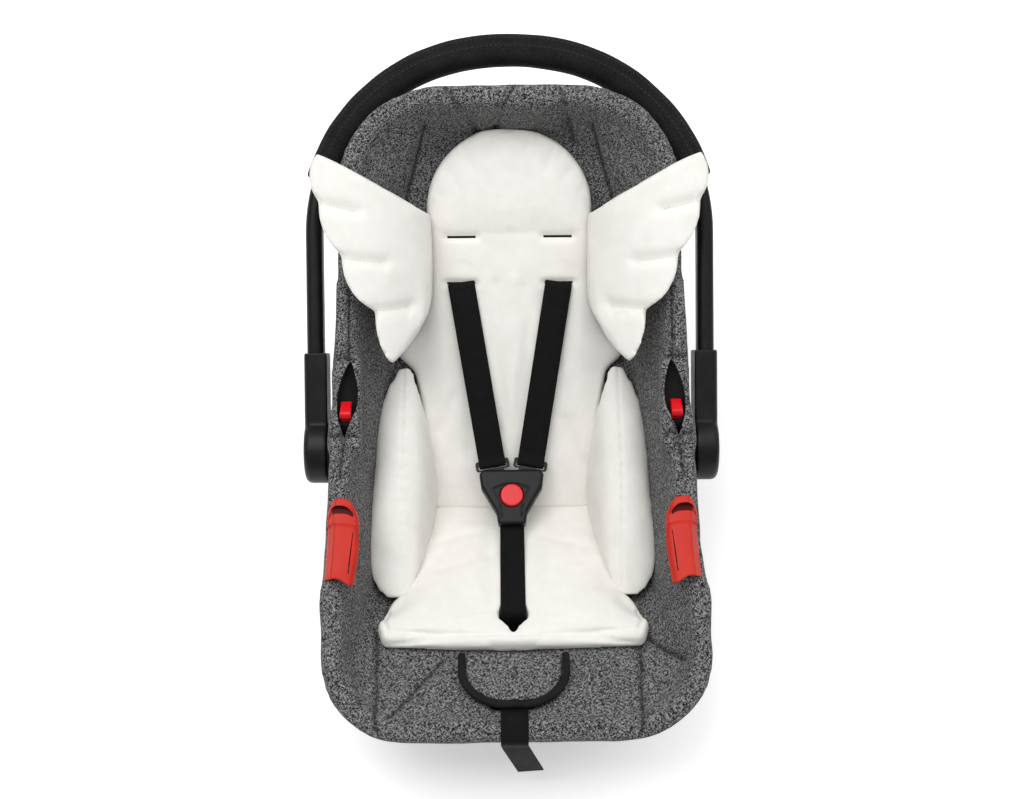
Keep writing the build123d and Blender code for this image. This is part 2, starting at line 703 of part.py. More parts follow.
nodes["insert_bolster_right"], nodes["insert_bolster_left"] = both(bolster)


# Wings, over the side wall and the rolled rim
def rim_off(y):
    """Height of the rolled rim over the back, y up from the bight."""
    a, r = radians(BACK_RISE), tan(radians(RIM_REAR_RISE))
    rise = RIM_H + ROLL - BIGHT_H
    s = (y + BIGHT_S * cos(a) - rise * sin(a)) / (cos(a) + r * sin(a))
    return -(s - BIGHT_S) * sin(a) + (rise + r * s) * cos(a)


wing_faces = []
for y in (SLOT_L - 130, SLOT_L, PAD_TOP_L):
    top = rim_off(y)
    root = (PAD_BACK_HALF + FIT_GAP, PAD_TOP - 8)
    knee = (WAIST_HALF - 37, top - 5)
    tip = (WING_REACH + 14, top + WING_LIFT)
    lift = [(-0.79, 0.61), (-0.55, 0.835), (-0.12, 0.99)]
    over = [(p[0] + d[0] * WING, p[1] + d[1] * WING) for p, d in zip((root, knee, tip), lift)]
    face = make_face(
        [
            ThreePointArc(root, knee, tip), Line(tip, over[2]),
            ThreePointArc(over[2], over[1], over[0]), Line(over[0], root),
        ]
    )
    wing_faces.append(Plane(origin=BACK.origin + BACK.y_dir * y, x_dir=AXIS_X, z_dir=-BACK.y_dir) * face)
wing_band = loft(wing_faces)
WING_TIP = (WING_REACH, 420.0)
WING_NOTCH = ((203.0, 371.0), (180.0, 315.0), (146.0, 256.0))
WING_BULGE = ((211.0, 406.0), (199.0, 343.0), (171.0, 280.0), (143.0, 226.0))
wing_stops = (WING_TIP,) + WING_NOTCH + (WING_END,)
wing_edges = [ThreePointArc(wing_stops[i], WING_BULGE[i], wing_stops[i + 1]) for i in range(len(WING_BULGE))]
wing_low, wing_high = (PAD_BACK_HALF + FIT_GAP, WING_LOW_L), (PAD_BACK_HALF + FIT_GAP, 353.0)
wing_edges += [ThreePointArc(WING_END, WING_UNDER, wing_low), Line(wing_low, wing_high)]
wing_edges += [ThreePointArc(wing_high, (148.0, 392.0), WING_TIP)]
wing_outline = make_face(wing_edges)
wing = wing_band & extrude(BACK * wing_outline, amount=TUB_HEADROOM * 3, dir=BACK_N)
for notch in WING_NOTCH:
    seam = Pos(notch[0] - 20, notch[1] - 5) * Rot(0, 0, 14) * Rectangle(44, WING_SEAM_W)
    cut = extrude(BACK * seam, amount=TUB_HEADROOM * 3, dir=BACK_N)
    wing -= cut & (Pos(BACK_N * (WING - WING_SEAM_D)) * wing_band)
nodes["insert_wing_right"], nodes["insert_wing_left"] = both(wing)

# Buckle plane across the crease
BUCKLE_FROM = PAN.origin + PAN.y_dir * (CREASE + BUCKLE_LOW_Q) + PAN_N * (PAD_TOP + BUCKLE_REST)
BUCKLE_TO = BACK.origin + BACK.y_dir * (CREASE + BUCKLE_HIGH_L) + BACK_N * (PAD_TOP + BUCKLE_REST)
BUCKLE_Y = (BUCKLE_TO - BUCKLE_FROM).normalized()
BUCKLE = Plane(origin=(BUCKLE_FROM + BUCKLE_TO) / 2, x_dir=AXIS_X, z_dir=AXIS_X.cross(BUCKLE_Y))
BUCKLE_N = BUCKLE.z_dir
SPLIT = BUCKLE_BACK_T


def buckle_point(x, y, z):
    """Point of the buckle plane in the part's frame."""
    return BUCKLE.origin + AXIS_X * x + BUCKLE_Y * y + BUCKLE_N * z


# Shoulder strap plane: through the buckle's top and the slot in the back
strap_off = PAD_TOP + WEB_LEAN + WEB_GAP + WEB_T / 2
strap_top = BACK.origin + AXIS_X * STRAP_X + BACK.y_dir * SLOT_L + BACK_N * strap_off
tongue_at = buckle_point(TONGUE_X, BUCKLE_HEAD_Y, SPLIT)
strap_dir = (strap_top - tongue_at).normalized()
strap_n = strap_dir.cross(BUCKLE_N).normalized()
TONGUE_DIR = BUCKLE_N.cross(strap_n).normalized()
TONGUE = Plane(origin=tongue_at, x_dir=strap_n, z_dir=BUCKLE_N)
if TONGUE.y_dir.dot(BUCKLE_Y) < 0:
    TONGUE = Plane(origin=tongue_at, x_dir=-strap_n, z_dir=BUCKLE_N)
STRAP = Plane(origin=tongue_at, x_dir=TONGUE.y_dir, z_dir=TONGUE.y_dir.cross(BUCKLE_N))


def strap_uv(point):
    """Place of a point in the strap's plane."""
    arm = point - tongue_at
    return arm.dot(STRAP.x_dir), arm.dot(STRAP.y_dir)


def tongue_point(y, z):
    """Point along the tongue, y out of the buckle and z above its middle."""
    return tongue_at + TONGUE.y_dir * y + BUCKLE_N * z


BAR_Y0 = TONGUE_NECK + TONGUE_SLOT
BAR_Y1 = BAR_Y0 + TONGUE_BAR
lay = TONGUE_T / 2 + WEB_GAP + WEB_T / 2
thread_y = TONGUE_NECK + TONGUE_SLOT / 2
through = strap_top - BACK_N * (strap_off + WEB_BEHIND)
strap_down = (strap_dir - BACK_N * strap_dir.dot(BACK_N)).normalized() * -1
strap_points = [
    tongue_point(BAR_Y1 + 2, -lay), tongue_point(thread_y, -lay), tongue_point(thread_y, lay),
    tongue_point(BAR_Y1 + 4, lay), strap_top, through, through + strap_down * STRAP_TAIL,
]
strap = band(STRAP, [strap_uv(p) for p in strap_points], [1.2, 1.2, WEB_BEND * 2, WEB_BEND, WEB_BEND], WEB_W)
nodes["harness_strap_right"], nodes["harness_strap_left"] = both(strap)

# Buckle tongues
tongue_face = Pos(0, (BAR_Y1 - TONGUE_IN) / 2) * Rectangle(TONGUE_W, BAR_Y1 + TONGUE_IN)
tongue_face += Pos(0, (BAR_Y1 + TONGUE_STEP) / 2) * RectangleRounded(TONGUE_HEAD_W, BAR_Y1 - TONGUE_STEP, 3)
tongue_face -= Pos(0, thread_y) * RectangleRounded(WEB_W + 2, TONGUE_SLOT, TONGUE_SLOT * 0.4)
tongue_face -= Pos(0, -TONGUE_IN / 2 - 1) * RectangleRounded(TONGUE_W / 2, TONGUE_IN / 3, TONGUE_IN / 8)
tongue = extrude(TONGUE * tongue_face, amount=TONGUE_T / 2, both=True)
nodes["buckle_tongue_right"], nodes["buckle_tongue_left"] = both(tongue)

# Buckle housing
buckle_half = [
    (BUCKLE_FOOT_HALF - 2, BUCKLE_FOOT_Y), (BUCKLE_FOOT_HALF, BUCKLE_FOOT_Y + 14), (BUCKLE_HEAD_HALF, BUCKLE_HEAD_Y - 20),
    (BUCKLE_HEAD_HALF + 2, BUCKLE_HEAD_Y - 5), (BUCKLE_HEAD_HALF - 2, BUCKLE_HEAD_Y),
]
buckle_left = [(-x, y) for x, y in reversed(buckle_half)]
buckle_face = make_face(Polyline(*buckle_half, *buckle_left, close=True))
buckle_face = fillet(buckle_face.vertices(), BUCKLE_ROUND)


def buckle_slab(face, low, high):
    """Slab on the buckle plane between two heights."""
    return extrude(BUCKLE * (Pos(0, 0, low) * face), amount=high - low, dir=BUCKLE_N)


BUCKLE_TOP = SPLIT + BUCKLE_FRONT_T
buckle_back = buckle_slab(buckle_face, 0, SPLIT - BUTTON_GAP / 4)
buckle_front = buckle_slab(buckle_face, SPLIT, BUCKLE_TOP)
crest = [e for e in buckle_front.edges() if abs((e.center() - BUCKLE.origin).dot(BUCKLE_N) - BUCKLE_TOP) < 0.01]
buckle_front = fillet(crest, BUCKLE_ROUND)
buckle_well = buckle_slab(Circle(BUCKLE_BUTTON_R + BUTTON_GAP), SPLIT - BUCKLE_SINK, BUCKLE_TOP + 5)
pocket_face = Pos(0, -TONGUE_IN / 2 + 5) * Rectangle(TONGUE_W + 2 * BUTTON_GAP, TONGUE_IN + 10 + 2 * BUTTON_GAP)
pocket = extrude(TONGUE * pocket_face, amount=TONGUE_T / 2 + BUTTON_GAP / 2, both=True)
foot_pocket = block(
    BUCKLE, -CROTCH_W / 2 - BUTTON_GAP, CROTCH_W / 2 + BUTTON_GAP, BUCKLE_FOOT_Y - 5, BUCKLE_FOOT_Y + CROTCH_IN + 1,
    SPLIT - WEB_T / 2 - BUTTON_GAP / 2, SPLIT + WEB_T / 2 + BUTTON_GAP / 2,
)
for cut in both(pocket):
    buckle_back -= cut
    buckle_front -= cut
BUCKLE_SCREWS = ((-BUCKLE_HEAD_HALF + 7, BUCKLE_HEAD_Y - 22), (BUCKLE_HEAD_HALF - 7, BUCKLE_HEAD_Y - 22))
under_buckle = Plane(origin=BUCKLE.origin, x_dir=-AXIS_X, z_dir=-BUCKLE_N)
buckle_screw_parts = []
for x, y in BUCKLE_SCREWS:
    length = SPLIT + BUCKLE_FRONT_T / 2 - SCREW_HEAD_T
    buckle_screw_parts.append(screw(under_buckle, x, y, -SCREW_HEAD_T, length))
    hole = screw_hole(under_buckle, x, y, 1, length + 1 + SCREW_HEAD_T)
    recess = extrude(under_buckle * (Pos(x, y, -SCREW_HEAD_T) * Circle(SCREW_HEAD_R + SCREW_CLEAR)), amount=5,
                     dir=-BUCKLE_N)
    buckle_back -= hole + recess
    buckle_front -= hole
buckle_back -= buckle_well + foot_pocket
buckle_front -= buckle_well + foot_pocket
nodes["buckle_back"] = buckle_back
nodes["buckle_front"] = buckle_front
nodes["buckle_screws"] = Compound(children=buckle_screw_parts)
BUTTON_FLOOR = SPLIT - BUCKLE_SINK
button_low = BUTTON_FLOOR + BUCKLE_BUTTON_TRAVEL + BUCKLE_SPRING
buckle_button = buckle_slab(Circle(BUCKLE_BUTTON_R), button_low, BUCKLE_TOP + BUCKLE_BUTTON_PROUD)
crest = [e for e in buckle_button.edges()
         if abs((e.center() - BUCKLE.origin).dot(BUCKLE_N) - BUCKLE_TOP - BUCKLE_BUTTON_PROUD) < 0.01]
nodes["buckle_button"] = fillet(crest, BUCKLE_BUTTON_PROUD)
spring_face = Circle(BUCKLE_BUTTON_R * 0.6) - Circle(BUCKLE_BUTTON_R * 0.6 - SPRING_WIRE)
nodes["buckle_spring"] = buckle_slab(spring_face, BUTTON_FLOOR, button_low - 0.05)

# Crotch strap, from inside the buckle's foot to the anchor below the pan
over_pad = PAD_TOP + WEB_GAP + WEB_T / 2
crotch_points = [
    to_sh(buckle_point(0, BUCKLE_FOOT_Y + CROTCH_IN, SPLIT)), to_sh(buckle_point(0, BUCKLE_FOOT_Y - 6, SPLIT)),
    pan_sh(CROTCH_SLOT_Q - 60, over_pad), pan_sh(CROTCH_SLOT_Q, over_pad), pan_sh(CROTCH_SLOT_Q, -ANCHOR_T - FIT_GAP),
]
nodes["crotch_strap"] = band(SIDE, crotch_points, [20.0, 60.0, WEB_BEND * 1.5], CROTCH_W)
anchor = block(PAN, -CROTCH_W / 2 - 10, CROTCH_W / 2 + 10, CROTCH_SLOT_Q - 9, CROTCH_SLOT_Q + 9, -FIT_GAP - ANCHOR_T, -FIT_GAP)
anchor -= block(PAN, -CROTCH_W / 2 - 1, CROTCH_W / 2 + 1, CROTCH_SLOT_Q - WEB_T, CROTCH_SLOT_Q + WEB_T, -30, 5)
nodes["crotch_anchor"] = anchor

# Yoke behind the back, and the adjuster strap round under the bucket and over the lip
yoke_l = SLOT_L - STRAP_TAIL
yoke_top = -WEB_BEHIND - WEB_T / 2 - WEB_LEAN - WEB_GAP
yoke_face = Pos(0, yoke_l + 8, yoke_top - YOKE_T) * RectangleRounded(YOKE_W, YOKE_H, 6)
nodes["harness_yoke"] = extrude(BACK * yoke_face, amount=YOKE_T, dir=BACK_N)
BASE_OFF = SHELL_WALL + FIT_GAP
web_off = BASE_OFF + ADJUSTER_BASE + WEB_GAP + WEB_T / 2
lip_h = vee_height(RIM, FRONT_S) + ROLL + WEB_GAP + WEB_T / 2
lay_off = COVER_IN + WEB_GAP + WEB_T / 2
lip_in = FRONT_S + COVER_IN + 2 * WEB_GAP + WEB_T
down = Vector(0, 0, -1)
drop = (down.dot(AXIS_S) * PULL_DROP, down.dot(AXIS_H) * PULL_DROP)
turn_s, turn_h = FRONT_S - SKIRT - WEB_GAP - WEB_T, lip_h - 2 * ROLL
corner_q = -WEB_BEHIND * tan(HALF_TURN)
adjuster_points = [
    back_sh(yoke_l + 14, -WEB_BEHIND), back_sh(corner_q, -WEB_BEHIND), pan_sh(ENTRY_Q, -WEB_BEHIND),
    pan_sh(ENTRY_Q, web_off), pan_sh(ADJUSTER_Q1 - 2, web_off), pan_sh(ADJUSTER_Q1 + COVER_WINDOW_FRONT, lay_off),
    (lip_in, lip_h), (turn_s, lip_h), (turn_s, turn_h), (turn_s + drop[0], turn_h + drop[1]),
]
lip_round = ROLL_ROUND + WEB_GAP + WEB_T / 2
adjuster_radii = [BIGHT_RADIUS + WEB_BEHIND, WEB_BEND, WEB_BEND, 6.0, 6.0, 8.0, lip_round, 40.0]
nodes["adjuster_strap"] = band(SIDE, adjuster_points, adjuster_radii, PULL_W)

# Adjuster: channel, lever on its pin, spring
half_w = ADJUSTER_W / 2
housing = block(PAN, -half_w, half_w, ADJUSTER_Q0, ADJUSTER_Q1, BASE_OFF - FIT_GAP / 2, BASE_OFF + ADJUSTER_H)
housing -= block(PAN, -half_w + ADJUSTER_WALL, half_w - ADJUSTER_WALL, ADJUSTER_Q0 - 1, ADJUSTER_Q1 + 1,
                 BASE_OFF + ADJUSTER_BASE, BASE_OFF + ADJUSTER_H + 1)
housing -= entry_cut
PIN_Q, PIN_OFF = ADJUSTER_Q + 4.0, BASE_OFF + ADJUSTER_H - 5.0
pin_s, pin_h = pan_sh(PIN_Q, PIN_OFF)
housing -= along_x(ADJUSTER_PIN_R + SCREW_CLEAR, -half_w - 1, half_w + 1, (pin_s, pin_h))
for x in (-half_w + 9, half_w - 9):
    housing -= screw_hole(PAN, x, ADJUSTER_Q0 + 6, BASE_OFF + ADJUSTER_BASE, 12)
nodes["adjuster_housing"] = housing
nodes["adjuster_pin"] = along_x(ADJUSTER_PIN_R, -half_w, half_w, (pin_s, pin_h))
lever_half = half_w - ADJUSTER_WALL - LEVER_SWING_GAP
lever = block(PAN, -lever_half, lever_half, PIN_Q - 15, PIN_Q + 12, PIN_OFF - LEVER_T / 2, PIN_OFF + LEVER_T / 2)
lever += along_x(ADJUSTER_PIN_R + 1.8, -lever_half, lever_half, (pin_s, pin_h))
lever -= along_x(ADJUSTER_PIN_R + SCREW_CLEAR, -half_w, half_w, (pin_s, pin_h))
nodes["adjuster_lever"] = lever
spring_low, spring_high = BASE_OFF + ADJUSTER_BASE, PIN_OFF - LEVER_T / 2 - 0.1
adjuster_spring = [
    extrude(PAN * (Pos(side * (lever_half - 1.4), PIN_Q + 9, spring_low) * (Circle(1.2) - Circle(0.6))),
            amount=spring_high - spring_low, dir=PAN_N)
    for side in (-1, 1)
]
nodes["adjuster_spring"] = Compound(children=adjuster_spring)
nodes["adjuster_screws"] = Compound(
    children=[screw(PAN, x, ADJUSTER_Q0 + 6, BASE_OFF + ADJUSTER_BASE, 11) for x in (-half_w + 9, half_w - 9)]
)
for x in (-half_w + 9, half_w - 9):
    shell_cuts.append(screw_hole(PAN, x, ADJUSTER_Q0 + 6, BASE_OFF + ADJUSTER_BASE, 12))

# Flap over the adjuster, with its bound edge
FLAP_OFF = BASE_OFF + ADJUSTER_H + FIT_GAP


def tongue_face_of(inset):
    """Tongue-shaped outline of the flap, moved in by inset on its free sides."""
    half, tip = FLAP_HALF - inset, FLAP_Q1 - inset
    start = FLAP_Q1 - FLAP_HALF * FLAP_BLUNT
    return make_face(
        [
            Polyline((-half, start), (-half, FLAP_Q0), (half, FLAP_Q0), (half, start)),
            ThreePointArc((half, start), (half * 0.72, start + (tip - start) * 0.72), (0, tip)),
            ThreePointArc((0, tip), (-half * 0.72, start + (tip - start) * 0.72), (-half, start)),
        ]
    )


flap = extrude(PAN * (Pos(0, 0, FLAP_OFF) * tongue_face_of(BINDING + FIT_GAP)), amount=FLAP_T, dir=PAN_N)
rim_face = tongue_face_of(0) - tongue_face_of(BINDING)
binding = extrude(PAN * (Pos(0, 0, FLAP_OFF) * rim_face), amount=BINDING_T, dir=PAN_N)
nodes["cover_flap"] = flap
nodes["flap_binding"] = binding

# Handle bow and grip sleeve
corner_x = LEG_X - CORNER_R
arch_c = ARCH_TOP - ARCH_R
corner_r = arch_c + sqrt((ARCH_R - CORNER_R) ** 2 - corner_x**2)
meet = degrees(atan2(corner_r - arch_c, corner_x))


def on_arc(cx, cy, radius, turn):
    """Point on an arc in the handle plane."""
    return cx + radius * cos(radians(turn)), cy + radius * sin(radians(turn))


def bow_path(leg_from, turn_from):
    """Right half, arch and left half of the bow's middle line."""
    edges = []
    for side in (1, -1):
        x0, a0 = corner_x, turn_from
        pts = [on_arc(x0, corner_r, CORNER_R, a) for a in (a0, (a0 + meet) / 2, meet)]
        pts = [(side * x, y) for x, y in pts]
        edges.append(ThreePointArc(*pts))
        if leg_from is not None:
            edges.append(Line((side * LEG_X, leg_from), (side * LEG_X, corner_r)))
    top = [on_arc(0, arch_c, ARCH_R, a) for a in (meet, 90, 180 - meet)]
    edges.append(ThreePointArc(*top))
    return HANDLE * Wire(edges)


def bow_solid(path, start, along, wide, deep, rounding):
    """Rounded bar along a path, from its right-hand end."""
    plane = Plane(origin=HANDLE.from_local_coords(Vector(start[0], start[1], 0)), x_dir=HANDLE.z_dir, z_dir=along)
    return sweep(plane * RectangleRounded(deep, wide, rounding), path)


handle_up = HANDLE.y_dir
bow = bow_solid(bow_path(SOCKET_SEAT, 0), (LEG_X, SOCKET_SEAT), handle_up, LEG_W, LEG_D, LEG_ROUND)
sleeve_from = on_arc(corner_x, corner_r, CORNER_R, SLEEVE_START)
sleeve_dir = HANDLE.y_dir * cos(radians(SLEEVE_START)) - AXIS_X * sin(radians(SLEEVE_START))
sleeve_path = bow_path(None, SLEEVE_START)
sleeve = bow_solid(sleeve_path, sleeve_from, sleeve_dir, 2 * SLEEVE_IN, 2 * SLEEVE_OUT, SLEEVE_ROUND)
sleeve -= bow_solid(sleeve_path, sleeve_from, sleeve_dir, LEG_W + 2 * SLEEVE_GAP, LEG_D + 2 * SLEEVE_GAP,
                    LEG_ROUND + SLEEVE_GAP)
nodes["grip_sleeve"] = sleeve

# Sockets with their hub discs
socket = extrude(hub_plane(SOCKET_IN) * Circle(HUB_R), amount=SOCKET_FACE - SOCKET_IN)
rim_edge = [e for e in socket.edges() if abs(e.center().X - SOCKET_FACE) < 0.01]
socket = fillet(rim_edge, HUB_ROUND)
arm = block(HANDLE, SOCKET_IN, SOCKET_FACE, 0, SOCKET_TOP, -SOCKET_D / 2, SOCKET_D / 2)
outer_edges = [e for e in arm.edges() if abs(e.center().X - SOCKET_FACE) < 0.01 and e.length > SOCKET_TOP - 1]
arm = fillet(outer_edges, SOCKET_ROUND)
socket += arm
pocket_plane = Plane(origin=HANDLE.from_local_coords(Vector(LEG_X, SOCKET_SEAT, 0)), x_dir=HANDLE.z_dir, z_dir=handle_up)
socket -= extrude(pocket_plane * RectangleRounded(LEG_D + 2 * SCREW_CLEAR, LEG_W + 2 * SCREW_CLEAR, LEG_ROUND), amount=SOCKET_TOP)
recess = gear_face(GEAR_ROOT + GEAR_CLEAR, GEAR_TIP + GEAR_CLEAR, GEAR_CLEAR)
socket -= extrude(hub_plane(SOCKET_IN - 1) * recess, amount=POCKET_END - SOCKET_IN + 1)
socket -= along_x(BOLT_R + BOLT_CLEAR, SOCKET_IN - 1, POCKET_END + BOLT_IN_SOCKET + BOLT_CLEAR)
SOCKET_SCREW_R = (SOCKET_SEAT + SOCKET_TOP) / 2
screw_plane = Plane(
    origin=HANDLE.from_local_coords(Vector(SOCKET_FACE - SCREW_HEAD_T, SOCKET_SCREW_R, 0)), x_dir=handle_up, z_dir=AXIS_X
)
socket_screw = screw(screw_plane, 0, 0, 0, LEG_W * 0.6)
socket -= extrude(screw_plane * Circle(SCREW_HEAD_R + SCREW_CLEAR), amount=SCREW_HEAD_T + 1)
leg_hole = screw_hole(screw_plane, 0, 0, 0, LEG_W * 0.6)
socket -= leg_hole
for cut in both(leg_hole):
    bow -= cut
nodes["handle_bow"] = bow
nodes["handle_socket_right"], nodes["handle_socket_left"] = both(socket)
nodes["socket_screws"] = Compound(children=list(both(socket_screw)))

# Fixed hub plates, lock gears, springs and bolts
plate = extrude(hub_plane(BOSS_FACE) * Circle(BOSS_R), amount=HUB_PLATE)
plate -= extrude(hub_plane(BOSS_FACE - 1) * recess, amount=HUB_PLATE + 2)
plate_screws = []
for plane, x, y in hub_screws_at(PLATE_FACE):
    plate -= screw_hole(plane, x, y, 0, HUB_SCREW_LEN)
    plate -= extrude(plane * (Pos(x, y, -HUB_SCREW_SINK) * Circle(SCREW_HEAD_R + SCREW_CLEAR)), amount=10)
    plate_screws.append(screw(plane, x, y, -HUB_SCREW_SINK, HUB_SCREW_LEN - HUB_SCREW_SINK - 2 * HUB_GAP))
nodes["hub_plate_right"], nodes["hub_plate_left"] = both(plate)
nodes["hub_screws"] = Compound(children=[s for part in plate_screws for s in both(part)])
gear = extrude(hub_plane(GEAR_X0) * gear_face(GEAR_ROOT, GEAR_TIP, 0), amount=GEAR_T)
gear += along_x(COLLAR_R, COLLAR_END, GEAR_X0 + 1)
gear -= along_x(BOLT_R + 3 * BOLT_CLEAR, COLLAR_END - 1, GEAR_X1 + 1)
nodes["lock_gear_right"], nodes["lock_gear_left"] = both(gear)
lock_spring = along_x(SPRING_R + SPRING_WIRE / 2, GEAR_X1 + 0.05, POCKET_END - 0.05)
lock_spring -= along_x(SPRING_R - SPRING_WIRE / 2, GEAR_X1, POCKET_END)
nodes["lock_spring_right"], nodes["lock_spring_left"] = both(lock_spring)
bolt = along_x(BOLT_R, HEAD_X, POCKET_END + BOLT_IN_SOCKET) + along_x(BOLT_HEAD_R, HEAD_X - BOLT_HEAD_T, HEAD_X)
nodes["pivot_bolt_right"], nodes["pivot_bolt_left"] = both(bolt)

# Release buttons in the slits of the cover
cap_z = PILLAR_Z + BUTTON_TRAVEL + STEM_GAP
cap = block(PILLAR, STEM_MID - BUTTON_W / 2, STEM_MID + BUTTON_W / 2, -BUTTON_L / 2, BUTTON_L / 2, cap_z, cap_z + BUTTON_CAP)
cap = fillet([e for e in cap.edges() if abs((e.center() - ORIGIN).dot(PRESS) - cap_z - BUTTON_CAP) < 0.01], BUTTON_ROUND)
stem = block(PILLAR, STEM_X0, STEM_X0 + STEM_W, -STEM_L / 2, STEM_L / 2, STEM_FOOT, cap_z)
wedge = [e for e in stem.edges() if abs((e.center() - ORIGIN).dot(PRESS) - STEM_FOOT) < 0.01
         and abs(e.center().X - STEM_X0 - STEM_W) < 0.01]
button = cap + chamfer(wedge, STEM_W * 0.6)
nodes["release_button_right"], nodes["release_button_left"] = both(button)

# Lap belt guides over the front side rims
slide = tub(GUIDE_S0, vee_height(RIM, GUIDE_S0), rim_half(GUIDE_S0, 0)) - tub(
    GUIDE_S1, vee_height(RIM, GUIDE_S1), rim_half(GUIDE_S1, 0))
g_rim, g_top = vee_height(RIM, GUIDE_S1), vee_height(RIM, GUIDE_S1) + ROLL
g_x = wall_x(GUIDE_S1, g_top, -SKIRT)
g_mid = GUIDE_T / 2


def g_wall(depth):
    """Middle of the guide's foot beside the shell, depth below the rim."""
    return wall_x(GUIDE_S1, g_rim - depth, 0) + GUIDE_SEAT + g_mid, g_rim - depth


guide_line = [
    g_wall(GUIDE_FOOT), g_wall(HEM + GUIDE_GAP + GUIDE_T), (g_x + GUIDE_GAP + g_mid, g_rim - HEM + 2),
    (g_x + GUIDE_GAP + g_mid, g_top), (g_x - GUIDE_REACH * 0.3, g_top + GUIDE_OVER),
    (g_x - GUIDE_REACH, g_top + GUIDE_OVER), (g_x - GUIDE_REACH - 3, g_top + GUIDE_OVER - GUIDE_LIP),
]
hood_line = [
    (g_x + GUIDE_GAP + g_mid, g_top - 4), (g_x + GUIDE_GAP + g_mid, g_top + 6),
    (g_x - GUIDE_REACH * 0.3, g_top + GUIDE_OVER + HOOD_RISE), (g_x - GUIDE_REACH, g_top + GUIDE_OVER + HOOD_RISE),
    (g_x - GUIDE_REACH - 3, g_top + GUIDE_OVER - GUIDE_LIP),
]
guide_plane = Plane(origin=tub(GUIDE_S1, 0), x_dir=AXIS_X, z_dir=-AXIS_S)


def guide_strip(points, radii, share):
    """Strip of the guide's section, pushed along the rim."""
    face = trace(FilletPolyline(*points, radius=radii), line_width=GUIDE_T)
    return extrude(guide_plane * face, amount=slide.length * share, dir=slide.normalized())


guide = guide_strip(guide_line, [5.0, 5.0, 7.0, 7.0, 2.2], 1.0)
guide += guide_strip(hood_line, [4.0, 7.0, 6.0], HOOD_LEN / (GUIDE_S1 - GUIDE_S0))
guide_mid = (GUIDE_S0 + GUIDE_S1) / 2
plan_plane = Plane(origin=tub(guide_mid, -TUB_HEADROOM, g_x - GUIDE_REACH / 2), x_dir=AXIS_X, z_dir=AXIS_H)
plan_shape = RectangleRounded(GUIDE_REACH * 2 + 30, GUIDE_S1 - GUIDE_S0 - 1, GUIDE_ROUND)
guide = guide & extrude(plan_plane * plan_shape, amount=TUB_HEADROOM * 3)
guide_screw_parts = []
for share in (0.33, 0.67):
    place = tub(GUIDE_S1, 0) + slide * share
    x, h = g_wall(GUIDE_FOOT - 9)
    spot = Plane(origin=place + AXIS_X * (x + 1.5) + AXIS_H * h, x_dir=AXIS_S, z_dir=AXIS_X)
    guide_screw_parts.append(screw(spot, 0, 0, 0, GUIDE_T + SHELL_WALL))
    hole = screw_hole(spot, 0, 0, 0, GUIDE_T + SHELL_WALL + 2)
    guide -= hole + extrude(spot * Circle(SCREW_HEAD_R + SCREW_CLEAR), amount=20)
    shell_cuts.extend(both(hole))
nodes["belt_guide_right"], nodes["belt_guide_left"] = both(guide)
nodes["guide_screws"] = Compound(children=[s for part in guide_screw_parts for s in both(part)])

# Shoulder belt guide on the back of the shell
reach = REAR_GUIDE_W / 2
rear_guide = block(BACK, -reach, reach, REAR_GUIDE_L, REAR_GUIDE_L + REAR_GUIDE_H, -REAR_GUIDE_OUT, -FIT_GAP)
rear_guide -= block(
    BACK, -reach - 1, reach + 1, REAR_GUIDE_L + REAR_GUIDE_T, REAR_GUIDE_L + REAR_GUIDE_H - REAR_GUIDE_T,
    -REAR_GUIDE_OUT + REAR_GUIDE_T, -REAR_GUIDE_T,
)
nodes["rear_belt_guide"] = rear_guide

# Floor runners
seat_room = plug(-RUNNER_SEAT, TUB_HEADROOM)
runner_face = make_face(
    [
        Line((RUNNER_FLAT_FRONT, 0), (RUNNER_FLAT_REAR, 0)),
        TangentArc((RUNNER_FLAT_REAR, 0), (RUNNER_REAR_Y, RUNNER_REAR_Z), tangent=(1, 0)),
        Polyline((RUNNER_REAR_Y, RUNNER_REAR_Z), (RUNNER_REAR_Y - RUNNER_HEEL, HUB_Z - 5), (RUNNER_FRONT_Y + 20, HUB_Z - 60),
                 (RUNNER_FRONT_Y, RUNNER_FRONT_Z)),
        TangentArc((RUNNER_FLAT_FRONT, 0), (RUNNER_FRONT_Y, RUNNER_FRONT_Z), tangent=(-1, 0)),
    ]
)
runner_plane = Plane(origin=(RUNNER_X - RUNNER_W / 2, 0, 0), x_dir=(0, 1, 0), z_dir=(1, 0, 0))
runner = extrude(runner_plane * runner_face, amount=RUNNER_W) - seat_room
foot_plane = Plane(origin=(0, 0, 0), x_dir=(1, 0, 0), z_dir=(0, 0, -1))
bight_z = BACK.origin.Z
runner_screw_parts = []
for y, lean in ((RUNNER_FLAT_FRONT + 10, PAN_LEAN), (RUNNER_FLAT_REAR - 40, BACK_LEAN)):
    skin = bight_z + abs(y - BACK.origin.Y) * tan(lean)
    head = skin - RUNNER_SCREW
    runner_screw_parts.append(screw(foot_plane, RUNNER_X, -y, -head, RUNNER_SCREW + SHELL_WALL / 2))
    hole = screw_hole(foot_plane, RUNNER_X, -y, -head, RUNNER_SCREW + SHELL_WALL)
    runner -= hole + extrude(foot_plane * (Pos(RUNNER_X, -y, -head) * Circle(SCREW_HEAD_R + SCREW_CLEAR)), amount=head + 1)
    shell_cuts.extend(both(hole))
nodes["rocker_runner_right"], nodes["rocker_runner_left"] = both(runner)
nodes["runner_screws"] = Compound(children=[s for part in runner_screw_parts for s in both(part)])

for cut in shell_cuts:
    shell -= cut
nodes["shell"] = shell
